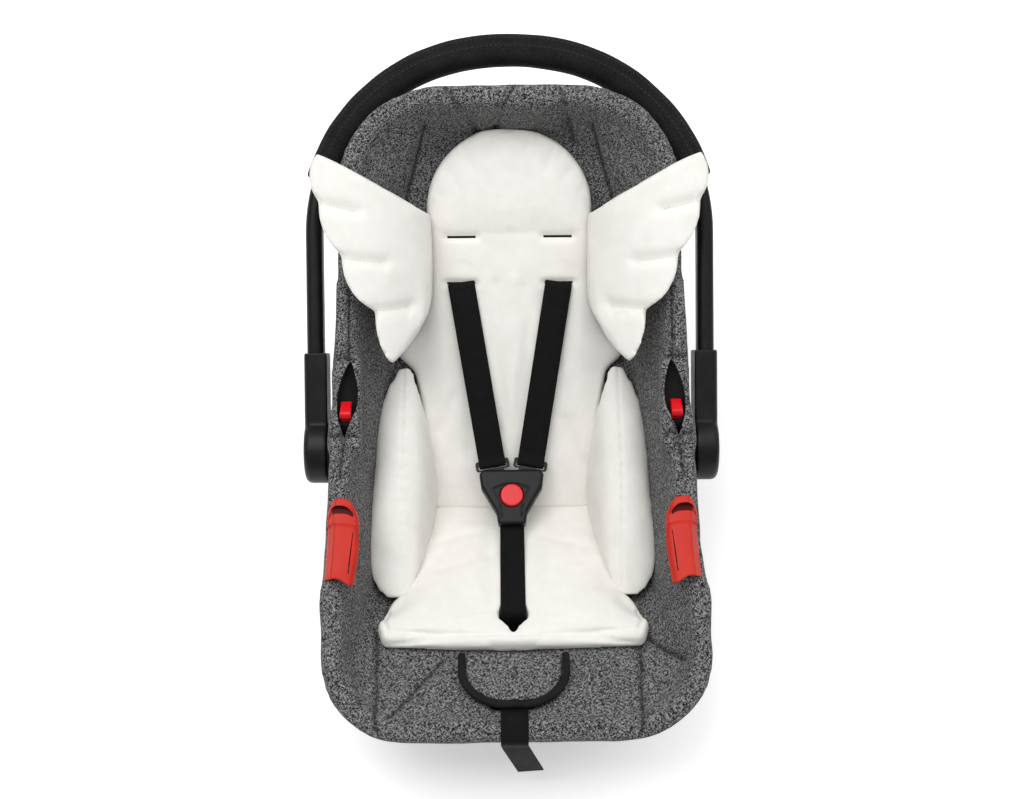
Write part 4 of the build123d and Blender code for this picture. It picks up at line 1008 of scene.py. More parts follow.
@dataclass
class Stitching:
    """Row of thread along a path that lies on a surface."""

    name: str
    lines: Sequence[Sequence[Vector]]
    up: Vector
    length: float = 3.4 * MM
    gap: float = 1.8 * MM
    radius: float = 0.42 * MM
    sides: int = 5
    spindle: Sequence[tuple[float, float, float]] = (
        (0.0, 0.35, -0.5), (0.25, 1.0, 0.35), (0.75, 1.0, 0.35), (1.0, 0.35, -0.5),
    )

    def build(self, finish: object, body: Body) -> bpy.types.Object:
        """Make every stitch of the row in one mesh.

        Args:
            finish: thread.
            body: body that the row moves with.

        Returns:
            The object.
        """
        work = bmesh.new()
        for line in self.lines:
            for start, end in self.spans(line):
                self.one(work, start, end)
        mesh = bpy.data.meshes.new(self.name)
        work.to_mesh(mesh)
        work.free()
        made = new_object(self.name, mesh)
        made.data.materials.append(WARDROBE.get(finish))
        made.data.polygons.foreach_set("use_smooth", [True] * len(made.data.polygons))
        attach(made, body.value)
        LOG.info("made %s", self.name)
        return made

    def spans(self, line: Sequence[Vector]) -> list[tuple[Vector, Vector]]:
        """Ends of each stitch along a path.

        Args:
            line: points of the path.

        Returns:
            Pairs of points.
        """
        far = [0.0]
        for a, b in zip(line, line[1:]):
            far.append(far[-1] + (b - a).length)

        def at(way: float) -> Vector:
            """Point at a distance along the path."""
            k = int(np.searchsorted(far, way, side="right")) - 1
            k = min(max(k, 0), len(line) - 2)
            run = max(far[k + 1] - far[k], 1e-9)
            return line[k].lerp(line[k + 1], (way - far[k]) / run)

        step = self.length + self.gap
        count = int(far[-1] // step)
        return [(at(i * step), at(i * step + self.length)) for i in range(count)]

    def one(self, work: bmesh.types.BMesh, start: Vector, end: Vector) -> None:
        """Add one stitch, a spindle that dips at its ends.

        Args:
            work: mesh that takes it.
            start: first end.
            end: last end.
        """
        run = end - start
        side = run.cross(self.up).normalized()
        up = side.cross(run).normalized()
        turns = [2 * math.pi * k / self.sides for k in range(self.sides)]
        rings = []
        for share, size, lift in self.spindle:
            middle = start + run * share + up * (self.radius * lift)
            arms = [side * math.cos(t) + up * math.sin(t) for t in turns]
            rings.append([work.verts.new(middle + arm * (self.radius * size)) for arm in arms])
        for a, b in zip(rings, rings[1:]):
            for k in range(self.sides):
                n = (k + 1) % self.sides
                work.faces.new((a[k], a[n], b[n], b[k]))


def drop_on(obj: bpy.types.Object, points: Iterable[Vector], way: Vector, lift: float = 0.0) -> list[Vector]:
    """Let points fall on a piece.

    Args:
        obj: piece that catches them.
        points: where they start.
        way: direction of the fall.
        lift: how far above the surface they stop.

    Returns:
        The points that hit it.
    """
    tree = BVHTree.FromObject(obj, bpy.context.evaluated_depsgraph_get())
    far = 0.3
    hits = [tree.ray_cast(p - way * far, way, 2 * far)[0] for p in points]
    return [h - way * lift for h in hits if h is not None]


def plan_block(
    ring: Sequence[Point2], low: float, side: Side, cut_shade: object, high: float = 60 * MM
) -> bpy.types.Object:
    """Closed block over the rim, for a cut that is seen from above.

    Args:
        ring: outline, as places across the seat and towards its head.
        low: height of its floor above the rim in metres.
        side: side of the seat.
        cut_shade: dark finish of the cut faces, a painted shade.
        high: height of its top.

    Returns:
        The block.
    """
    work = bmesh.new()
    levels = []
    for lift in (low, high):
        heights = [float(SEAT.rim(np.array(y))) + lift for _, y in ring]
        levels.append([work.verts.new(SEAT.tub(y, h, side.sign * x)) for (x, y), h in zip(ring, heights)])
    for level in levels:
        work.faces.new(level)
    for k in range(len(ring)):
        n = (k + 1) % len(ring)
        work.faces.new((levels[0][k], levels[0][n], levels[1][n], levels[1][k]))
    bmesh.ops.recalc_face_normals(work, faces=work.faces)
    mesh = bpy.data.meshes.new("block")
    work.to_mesh(mesh)
    work.free()
    mesh.materials.append(WARDROBE.get(cut_shade))
    return new_object(f"block_{side.word}", mesh)


def between(first: Point2, second: Point2, count: int) -> list[Point2]:
    """Evenly spaced points of a straight run.

    Args:
        first: start.
        second: end.
        count: number of steps.

    Returns:
        Points with both ends.
    """
    start, run = np.array(first), np.array(second) - np.array(first)
    return [tuple(start + run * k / count) for k in range(count + 1)]


@dataclass(frozen=True)
class Seam:
    """Sewn line on a plate, in plate coordinates."""

    line: Sequence[Point2]
    width: float = 5 * MM
    depth: float = 3 * MM
    # share of painted shade in the seam's crease, 0 for none
    dark: float = 0.0

    def points(self, step: float = 4 * MM) -> list[Point2]:
        """Closely spaced points of the line.

        Args:
            step: distance between them in metres.

        Returns:
            Points along every run.
        """
        found: list[Point2] = []
        for a, b in zip(self.line, self.line[1:]):
            found += between(a, b, max(2, int(math.dist(a, b) / step)))
        return found

    def mirrored(self) -> "Seam":
        """The same line on the other side.

        Returns:
            A seam.
        """
        return Seam([(-x, y) for x, y in self.line], self.width, self.depth, self.dark)


def sew(form: SoftForm, plate: Plate, seams: Sequence[Seam], face_up: float = 0.15) -> None:
    """Draw a form in along its seams, on the side that faces up from a plate, and paint shade into the
    creases of seams that have a dark share.

    Args:
        form: the form.
        plate: plate that the seams are drawn on.
        seams: the sewn lines.
        face_up: least share of the normal along the plate's normal.
    """
    for seam in seams:
        away = polyline_distance(plate.local(form.points)[:, :2], seam.line)
        facing = smooth_step(form.normals @ np.array(plate.normal), face_up, face_up + 0.3)
        form.groove(away, seam.width, seam.depth, facing)
        # painted shade along the crease, on the side that faces up
        if seam.dark:
            form.paint(away + (1 - facing), seam.width * 0.4, seam.dark)


@dataclass
class SeatCover:
    """Padded cover over the bucket, rolled over its rim, with an almond slit beside each hub."""

    voxel: float = 5 * MM
    ripples: Sequence[Ripple] = ((16.0, 1.6 * MM, 3), (38.0, 0.8 * MM, 5))
    wells: Sequence[tuple[Point2, Point2, Point2]] = (
        ((0.1745, 0.040), (0.030, 0.104), (-6 * MM, 11 * MM)),
        ((0.1765, 0.014), (0.036, 0.040), (-6 * MM, 20 * MM)),
    )
    head_bulge: float = 8 * MM
    head_s: Point2 = (0.16, 0.30)
    head_x: Point2 = (0.07, 0.14)
    flank_bulge: float = 4 * MM
    flank_rise: Point2 = (-0.21, -0.17)
    flank_fall: Point2 = (-0.03, 0.03)
    flank_x: Point2 = (0.150, 0.185)
    right_bulge: float = 6 * MM
    right_rise: Point2 = (-0.33, -0.25)
    right_fall: Point2 = (-0.18, -0.11)
    right_x: Point2 = (0.120, 0.185)
    rolled: Point2 = (-30 * MM, 0.0)
    seam_half: float = 4.5 * MM
    seam_deep: float = 3.4 * MM
    # share of painted shade laid into the cover's seam creases
    seam_painted_shade: float = 0.85
    slit_ends: tuple[Point2, Point2] = ((0.1701, 0.0842), (0.1776, 0.0030))
    slit_half: float = 11 * MM
    slit_deep: float = 1 * MM
    slit_steps: int = 18

    def build(self) -> SoftForm:
        """Shape the cover.

        Returns:
            The form.
        """
        fill = [
            Filler(SEAT.hub_rim, (side.sign * x, y), size, low, high)
            for (x, y), size, (low, high) in self.wells for side in Side
        ]
        form = SoftForm("cover_padding", ["seat_cover"], self.voxel, fill)
        form.smooth(5)
        self.fill_out(form)
        for ripple in self.ripples:
            form.wrinkle(*ripple)
        form.finer()
        self.seams(form)
        self.slits(form)
        return form

    def fill_out(self, form: SoftForm) -> None:
        """Pad the rolled rim at the head's corners and along the flanks, and leave what lies in the shell.

        Args:
            form: the cover.
        """
        moved = form.points
        across, s, h = SEAT.to_tub(moved).T
        wide = np.abs(across)
        corner = smooth_step(s, *self.head_s) * smooth_step(wide, *self.head_x)
        beside = window(s, self.flank_rise, self.flank_fall) * smooth_step(wide, *self.flank_x)
        ahead = window(s, self.right_rise, self.right_fall) * smooth_step(across, *self.right_x)
        outward = np.sign(across) * (corner * self.head_bulge + beside * self.flank_bulge)
        rolled = smooth_step(h - SEAT.rim(s), *self.rolled)
        moved[:, 0] += (outward + ahead * self.right_bulge) * rolled
        form.points = moved

    def line(self, *points: Point2) -> Seam:
        """Seam of the cover's usual size.

        Args:
            points: its corners.

        Returns:
            The seam.
        """
        return Seam(points, self.seam_half, self.seam_deep, self.seam_painted_shade)

    def seams(self, form: SoftForm) -> None:
        """Sew the cover's panels.

        Args:
            form: the cover.
        """
        temple = self.line((-0.0892, 0.4469), (-0.1094, 0.3773), (-0.118, 0.330))
        crown = [
            self.line((-0.0676, 0.4909), (-0.0419, 0.4507), (-0.030, 0.430)),
            self.line((0.0069, 0.4923), (-0.0088, 0.4601), (-0.016, 0.440)),
            self.line((0.0540, 0.4875), (0.0658, 0.4475), (0.070, 0.430)),
        ]
        sew(form, SEAT.back, [temple, temple.mirrored(), *crown])
        front = [
            self.line((-0.1438, 0.190), (-0.1387, 0.3249)), self.line((-0.0737, 0.2266), (-0.1289, 0.3039)),
            self.line((0.1400, 0.195), (0.1738, 0.2447)), self.line((0.1338, 0.2053), (0.1275, 0.3283)),
        ]
        sew(form, SEAT.pan, front)
        rim = [
            self.line((-0.1693, 0.190), (-0.1701, 0.0842)), self.line((-0.1966, 0.0855), (-0.1500, 0.0851)),
            self.line((-0.1946, 0.0042), (-0.1520, 0.0038)), self.line((-0.1776, 0.0030), (-0.1809, -0.0396)),
        ]
        sew(form, SEAT.plan, rim + [seam.mirrored() for seam in rim])

    def slits(self, form: SoftForm) -> None:
        """Cut the two almond slits, with painted shade on their cut faces.

        Args:
            form: the cover.
        """
        form.obj.data.materials.append(WARDROBE.get(COVER_CLOTH))
        for side in Side:
            # the cut faces take the near-black finish, painted shade inside the slit
            form.cut(plan_block(self.almond(), self.slit_deep, side, SLIT_SHADE))

    def almond(self) -> list[Point2]:
        """Outline of a slit.

        Returns:
            Places across the seat and towards its head.
        """
        middle = between(*self.slit_ends, self.slit_steps)
        half = [self.slit_half * math.sin(math.pi * k / self.slit_steps) for k in range(self.slit_steps + 1)]
        outer = [(x + w, s) for (x, s), w in zip(middle, half)]
        inner = [(x - w, s) for (x, s), w in zip(middle, half)]
        return outer + inner[-2:0:-1]

    def dress(self) -> bpy.types.Object:
        """Build the cover and finish it.

        Returns:
            The object.
        """
        form = self.build()
        return form.dress(None, Body.BASE, "cover_fabric", 0.5, 0)


@dataclass
class InsertBack:
    """Head and back pad with two pairs of slits for the shoulder webbing."""

    voxel: float = 4 * MM
    slit_x: Point2 = (53 * MM, 54 * MM)
    slit_y: Point2 = (327 * MM, 276 * MM)
    slit_size: Point2 = (31 * MM, 2.6 * MM)
    slit_room: Point2 = (48 * MM, 18 * MM)
    slit_clear: float = 7 * MM
    slit_seam: Point2 = (4.5 * MM, 3.4 * MM)
    strap_foot: Point2 = (22 * MM, 60 * MM)
    strap_clear: Point2 = (22 * MM, 42 * MM)
    pad_low: float = 18 * MM
    pad_skin: float = 4 * MM
    under_bolster: float = 9 * MM
    flank_x: Point2 = (0.060, 0.085)
    flank_y: Point2 = (0.17, 0.21)
    tuck: float = 3 * MM
    tuck_y: Point2 = (0.025, 0.060)
    crease: float = 45 * MM
    swell: float = 5 * MM
    pressure: float = 4.0
    ripple: Ripple = (22.0, 1.0 * MM, 11)
    fold: Point2 = (7 * MM, 1.6 * MM)

    def strap(self, side: Side) -> list[Point2]:
        """Line of a shoulder strap over the pad.

        Args:
            side: side of the seat.

        Returns:
            Its two ends on the back plate.
        """
        x, y = self.strap_foot
        return [(side.sign * self.slit_x[1], self.slit_y[1]), (side.sign * x, y)]

    def slits(self) -> list[Point2]:
        """Middles of all four slits.

        Returns:
            Places on the back plate.
        """
        return [(side.sign * x, y) for side in Side for x, y in zip(self.slit_x, self.slit_y)]

    def build(self) -> SoftForm:
        """Shape the pad.

        Returns:
            The form.
        """
        high = SEAT.pad_top - 0.4 * MM
        fill = [Filler(SEAT.back, m, self.slit_room, self.pad_low, high) for m in self.slits()]
        form = SoftForm("insert_back_pad", ["insert_back"], self.voxel, fill)
        form.smooth(3)
        local = SEAT.back.local(form.points)
        flank = smooth_step(np.abs(local[:, 0]), *self.flank_x)
        flank *= 1 - smooth_step(local[:, 1], *self.flank_y)
        low = 1 - smooth_step(local[:, 1], *self.tuck_y)
        moved = form.points - np.outer(low * self.tuck, np.array(SEAT.back.along))
        moved[:, 0] += np.sign(local[:, 0]) * flank * self.under_bolster
        form.points = moved
        under = local[:, 2] < self.pad_low + self.pad_skin
        slit = np.min([polyline_distance(local[:, :2], self.line(m)) for m in self.slits()], axis=0)
        strap = np.min([polyline_distance(local[:, :2], self.strap(side)) for side in Side], axis=0)
        sewn = under | (slit < self.slit_clear) | (local[:, 1] < self.crease)
        form.puff(sewn, self.pressure, self.swell * smooth_step(strap, *self.strap_clear))
        form.wrinkle(*self.ripple)
        form.finer()
        sew(form, SEAT.back, [Seam(self.line(middle), *self.slit_seam) for middle in self.slits()])
        sew(form, SEAT.back, self.folds())
        return form

    def folds(self) -> list[Seam]:
        """Soft folds that the webbing draws into the pad.

        Returns:
            Shallow wide lines.
        """
        lines = [
            [(-0.016, 0.276), (-0.010, 0.200), (-0.014, 0.110)],
            [(0.014, 0.270), (0.020, 0.190), (0.012, 0.120)],
            [(-0.034, 0.262), (-0.050, 0.180), (-0.046, 0.090)],
            [(0.036, 0.262), (0.062, 0.150), (0.060, 0.090)],
            [(-0.064, 0.150), (-0.080, 0.110)],
            [(0.002, 0.330), (0.004, 0.290)],
            [(0.060, 0.120), (0.080, 0.070)],
        ]
        return [Seam(line, *self.fold) for line in lines]

    def line(self, middle: Point2) -> list[Point2]:
        """Middle line of a slit.

        Args:
            middle: its place.

        Returns:
            Its two ends.
        """
        half = self.slit_size[0] / 2
        return [(middle[0] - half, middle[1]), (middle[0] + half, middle[1])]

    def dress(self) -> bpy.types.Object:
        """Build the pad with the grooves sewn round its slits, and a near-black strip of painted shade over
        each slit.

        Returns:
            The pad.
        """
        pad = self.build().dress(INSERT_CLOTH, Body.BASE, "insert_fabric", 0.6, 0)
        # painted shade: a thin near-black strip on the pad over each slit
        for i, middle in enumerate(self.slits()):
            flat = [SEAT.back.point(x, y, 0.1) for x, y in between(*self.line(middle), 12)]
            path = drop_on(pad, flat, -SEAT.back.normal, 0.25 * MM)
            slit = Ribbon(f"slit_painted_shade_{i}", path, SEAT.back.along, self.slit_size[1], 0.8 * MM).build()
            slit.data.materials.append(WARDROBE.get(SLIT_SHADE))
            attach(slit, Body.BASE.value)
            LOG.info("made %s", slit.name)
        return pad


@dataclass
class InsertSeat:
    """Seat pad with a teardrop opening for the crotch strap."""

    voxel: float = 3 * MM
    pad_low: float = 20 * MM
    under_bolster: float = 12 * MM
    tuck: float = 3 * MM
    tuck_y: Point2 = (0.025, 0.060)
    flank_x: Point2 = (0.060, 0.085)
    flank_y: Point2 = (0.155, 0.185)
    crease: float = 45 * MM
    swell: float = 5 * MM
    strap_clear: Point2 = (20 * MM, 45 * MM)
    pressure: float = 4.0
    ripple: Ripple = (20.0, 1.2 * MM, 17)
    fold: Point2 = (7 * MM, 1.3 * MM)
    hem_seam: Point2 = (2.6 * MM, 2.4 * MM)
    hem: Sequence[Point2] = (
        (-0.1330, 0.1750), (-0.1365, 0.1920), (-0.1310, 0.2040), (0.0, 0.2105),
        (0.1310, 0.2040), (0.1365, 0.1920), (0.1330, 0.1750),
    )

    def dress(self) -> bpy.types.Object:
        """Build the pad.

        Returns:
            The object.
        """
        form = SoftForm("insert_seat_pad", ["insert_seat"], self.voxel)
        form.smooth(3)
        local = SEAT.pan.local(form.points)
        flank = smooth_step(np.abs(local[:, 0]), *self.flank_x)
        flank *= 1 - smooth_step(local[:, 1], *self.flank_y)
        rear = 1 - smooth_step(local[:, 1], *self.tuck_y)
        moved = form.points - np.outer(rear * self.tuck, np.array(SEAT.pan.along))
        moved[:, 0] += np.sign(local[:, 0]) * flank * self.under_bolster
        form.points = moved
        sewn = (local[:, 2] < self.pad_low) | (local[:, 1] < self.crease)
        form.puff(sewn, self.pressure, self.swell * smooth_step(np.abs(local[:, 0]), *self.strap_clear))
        form.wrinkle(*self.ripple)
        form.finer()
        sew(form, SEAT.pan, [Seam(self.hem, *self.hem_seam), *self.folds()])
        return form.dress(INSERT_CLOTH, Body.BASE, "insert_fabric", 0.6, 0)

    def folds(self) -> list[Seam]:
        """Soft folds across the pad.

        Returns:
            Shallow wide lines.
        """
        lines = [
            [(-0.080, 0.075), (-0.030, 0.060)],
            [(-0.075, 0.120), (-0.025, 0.098)],
            [(0.030, 0.070), (0.078, 0.085)],
        ]
        return [Seam(line, *self.fold) for line in lines]


@dataclass
class Bolster:
    """Full side pad that fills the room up to the cover's wall."""

    side: Side
    voxel: float = 3.5 * MM
    ridge_x: float = 119 * MM
    belly_h: float = -60 * MM
    brow_h: float = -20 * MM
    fuller: float = 1.35
    fuller_low: float = 0.1
    reach: float = 9 * MM
    reach_s: Point2 = (-0.150, -0.080)
    swell: float = 6 * MM
    pressure: float = 4.0
    ripples: Sequence[Ripple] = ((24.0, 1.4 * MM, 23), (60.0, 0.5 * MM, 24))
    seam_half: float = 1.5 * MM
    seam_deep: float = 1.3 * MM
    seam_line: Sequence[Point2] = ((-2 * MM, -0.150), (2 * MM, -0.03), (0.0, 0.100))

    def fill_out(self, form: SoftForm) -> None:
        """Widen the outer shoulder towards the cover.

        Args:
            form: the pad.
        """
        tub = SEAT.to_tub(form.points)
        out = np.maximum(np.abs(tub[:, 0]) - self.ridge_x, 0)
        share = self.fuller * smooth_step(tub[:, 2], self.belly_h, self.brow_h) + self.fuller_low
        low = 1 - smooth_step(tub[:, 1], *self.reach_s)
        moved = form.points - np.outer(low * self.reach, np.array(SEAT.axis_s))
        moved[:, 0] += self.side.sign * out * share
        form.points = moved

    def dress(self) -> bpy.types.Object:
        """Build the pad.

        Returns:
            The object.
        """
        form = SoftForm(f"bolster_pad_{self.side.word}", [f"insert_bolster_{self.side.word}"], self.voxel)
        form.smooth(4)
        self.fill_out(form)
        form.smooth(4)
        tub = SEAT.to_tub(form.points)
        form.puff(tub[:, 2] < self.belly_h, self.pressure, self.swell)
        for ripple in self.ripples:
            form.wrinkle(*ripple)
        form.finer()
        line = [(self.side.sign * (self.ridge_x + off), y) for off, y in self.seam_line]
        sew(form, SEAT.plan, [Seam(line, self.seam_half, self.seam_deep)])
        return form.dress(INSERT_CLOTH, Body.BASE, "insert_fabric", 0.7, 0)


@dataclass
class Wing:
    """Stitched wing pad with feathered edge."""

    side: Side
    voxel: float = 3 * MM
    tuck: float = 3 * MM
    swell: float = 4 * MM
    pressure: float = 3.0
    ripple: Ripple = (24.0, 1.0 * MM, 29)
    pinned: float = 4 * MM
    row_seam: Point2 = (7 * MM, 3.6 * MM)
    stitch: Point2 = (2.6 * MM, 1.6 * MM)
    rows: Sequence[tuple[Point2, Point2]] = (
        ((0.2010, 0.3705), (0.1607, 0.3603)),
        ((0.1790, 0.3130), (0.1324, 0.3061)),
        ((0.1465, 0.2560), (0.1079, 0.2578)),
    )

    def seams(self) -> list[Seam]:
        """Stitched rows on this side.

        Returns:
            Seams on the back plate.
        """
        return [Seam([(self.side.sign * x, y) for x, y in row], *self.row_seam) for row in self.rows]

    def dress(self) -> bpy.types.Object:
        """Build the pad and its stitched rows.

        Returns:
            The pad.
        """
        form = SoftForm(f"wing_pad_{self.side.word}", [f"insert_wing_{self.side.word}"], self.voxel)
        form.smooth(4)
        form.points = form.points - np.array([self.side.sign * self.tuck, 0, 0])
        flat = SEAT.back.local(form.points)[:, :2]
        away = np.min([polyline_distance(flat, seam.line) for seam in self.seams()], axis=0)
        form.puff(away < self.pinned, self.pressure, self.swell)
        form.wrinkle(*self.ripple)
        form.finer()
        sew(form, SEAT.back, self.seams(), 0.0)
        pad = form.dress(INSERT_CLOTH, Body.BASE, "insert_fabric", 0.6, 0)
        up = SEAT.back.normal
        starts = [[SEAT.back.point(x, y, 0.1) for x, y in seam.points()] for seam in self.seams()]
        lines = [drop_on(pad, row, -up) for row in starts]
        Stitching(f"wing_stitches_{self.side.word}", lines, up, *self.stitch).build(WHITE_THREAD, Body.BASE)
        return pad


@dataclass
class Band:
    """One piece of webbing: its node, its corners and its width."""

    name: str
    node: str
    corners: Sequence[Vector]
    across: Vector
    width: float
    reach: float = 8 * MM
    thick: float = 1.7 * MM

    def dress(self) -> bpy.types.Object:
        """Build the webbing.

        Returns:
            The object.
        """
        path = round_path(self.corners, self.reach)
        made = Ribbon(self.name, path, self.across, self.width, self.thick).build()
        made.data.materials.append(WARDROBE.get(WEBBING))
        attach(made, Body.BASE.value)
        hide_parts(self.node)
        LOG.info("made %s", self.name)
        return made


@dataclass
class Harness:
    """Shoulder, crotch and pull webbing."""

    width: float = 30 * MM
    crotch_width: float = 27 * MM
    pull_width: float = 28 * MM
    shoulder_bend: float = 5 * MM
    crotch_bend: float = 14 * MM
    pull_bend: float = 9 * MM
    pull_drift: float = 17 * MM
    lean: Vector = field(default_factory=lambda: Vector((0.98488, -0.16836, -0.04074)))
    shoulder: Sequence[tuple[float, float, float]] = (
        (0.0226, 0.0192, 0.1123), (0.0210, 0.0101, 0.1101), (0.0210, 0.0088, 0.1155),
        (0.0229, 0.0198, 0.1182), (0.0540, 0.1726, 0.2378), (0.0540, 0.2014, 0.2034),
        (0.0361, 0.1167, 0.1323),
    )
    crotch: Sequence[Point2] = (
        (-0.0626, -0.0582), (-0.0806, -0.0578), (-0.1270, -0.0336), (-0.1763, 0.0007), (-0.2003, -0.0339),
    )
    pull: Sequence[Point2] = (
        (0.1139, -0.0632), (-0.0506, -0.1399), (-0.2497, -0.0015), (-0.2415, 0.0102), (-0.2694, 0.0296),
        (-0.2774, 0.0461), (-0.2894, 0.0638), (-0.3171, 0.0638), (-0.3171, 0.0378), (-0.3388, -0.0433),
    )

    def bands(self) -> list[Band]:
        """Every piece of webbing.

        Returns:
            The pieces, not yet built.
        """
        found = []
        for side in Side:
            turn = Matrix.Scale(-1, 3, Vector((1, 0, 0))) if side is Side.LEFT else Matrix.Identity(3)
            corners = [turn @ Vector(p) + Vector((0, SEAT.hub_y, 0)) for p in self.shoulder]
            across = turn @ self.lean * side.sign
            name, node = f"shoulder_webbing_{side.word}", f"harness_strap_{side.word}"
            found.append(Band(name, node, corners, across, self.width, self.shoulder_bend))
        flat = Vector((1, 0, 0))
        crotch = [SEAT.tub(y, h) for y, h in self.crotch]
        found.append(
            Band("crotch_webbing", "crotch_strap", crotch, flat, self.crotch_width, self.crotch_bend)
        )
        last = len(self.pull) - 1
        pull = [SEAT.tub(y, h, self.pull_drift if k == last else 0.0) for k, (y, h) in enumerate(self.pull)]
        found.append(Band("pull_webbing", "adjuster_strap", pull, flat, self.pull_width, self.pull_bend))
        return found

    def dress(self) -> list[bpy.types.Object]:
        """Build every piece of webbing.

        Returns:
            The objects.
        """
        return [band.dress() for band in self.bands()]


@dataclass
class CoverFlap:
    """Tongue of cloth over the adjuster, with a bound edge."""

    voxel: float = 2.2 * MM
    edge_voxel: float = 1.4 * MM
    ripple: Ripple = (26.0, 0.6 * MM, 31)

    def dress(self) -> None:
        """Build the panel and its bound edge."""
        panel = SoftForm("flap_panel", ["cover_flap"], self.voxel)
        panel.smooth(3)
        panel.wrinkle(*self.ripple)
        panel.dress(COVER_CLOTH, Body.FLAP, "cover_fabric", 0.3, 1)
        edge = SoftForm("flap_edge", ["flap_binding"], self.edge_voxel)
        edge.smooth(6)
        edge.dress(BINDING_TAPE, Body.FLAP, "binding_tape", 0.3, 0)


@dataclass
class Sleeve:
    """Stitched sleeve around the handle's arch."""

    voxel: float = 3 * MM
    heart: float = 0.235
    seam_share: float = 0.30
    seam_half: float = 2.6 * MM
    seam_deep: float = 1.8 * MM
    row_off: float = 4.5 * MM
    row_lift: float = 0.1 * MM
    ripple: Ripple = (30.0, 0.8 * MM, 37)
    arc: float = 1.30
    bins: int = 90

    def dress(self) -> bpy.types.Object:
        """Build the sleeve, its seam and the stitches beside it.

        Returns:
            The sleeve.
        """
        form = SoftForm("handle_sleeve", ["grip_sleeve"], self.voxel)
        form.smooth(2)
        form.wrinkle(*self.ripple)
        form.finer()
        turns, radii = self.seam(form)
        local = SEAT.handle.local(form.points)
        turn = np.arctan2(local[:, 0], local[:, 1] - self.heart)
        far = np.hypot(local[:, 0], local[:, 1] - self.heart)
        facing = smooth_step(form.normals @ np.array(SEAT.handle.normal), 0.1, 0.4)
        form.groove(far - np.interp(turn, turns, radii), self.seam_half, self.seam_deep, facing)
        sleeve = form.dress(SLEEVE_CLOTH, Body.HANDLE, "sleeve_fabric", 0.4, 0)
        rows = []
        for shift in (-self.row_off, self.row_off):
            flat = [
                SEAT.handle.point((r + shift) * math.sin(t), self.heart + (r + shift) * math.cos(t), 0.1)
                for t, r in zip(turns, radii) if abs(t) < self.arc
            ]
            rows.append(drop_on(sleeve, flat, -SEAT.handle.normal, self.row_lift))
        Stitching("sleeve_stitches", rows, SEAT.handle.normal).build(BLACK_THREAD, Body.HANDLE)
        return sleeve

    def seam(self, form: SoftForm) -> tuple[np.ndarray, np.ndarray]:
        """Place of the seam around the arch.

        Args:
            form: the sleeve.

        Returns:
            Turns about the arch's heart and the seam's distance there.
        """
        local = SEAT.handle.local(form.points)
        turn = np.arctan2(local[:, 0], local[:, 1] - self.heart)
        far = np.hypot(local[:, 0], local[:, 1] - self.heart)
        edges = np.linspace(turn.min(), turn.max(), self.bins + 1)
        middles, radii = [], []
        for low, high in zip(edges, edges[1:]):
            inside = far[(turn >= low) & (turn < high)]
            if len(inside):
                middles.append((low + high) / 2)
                radii.append(inside.max() - self.seam_share * (inside.max() - inside.min()))
        return np.array(middles), np.array(radii)


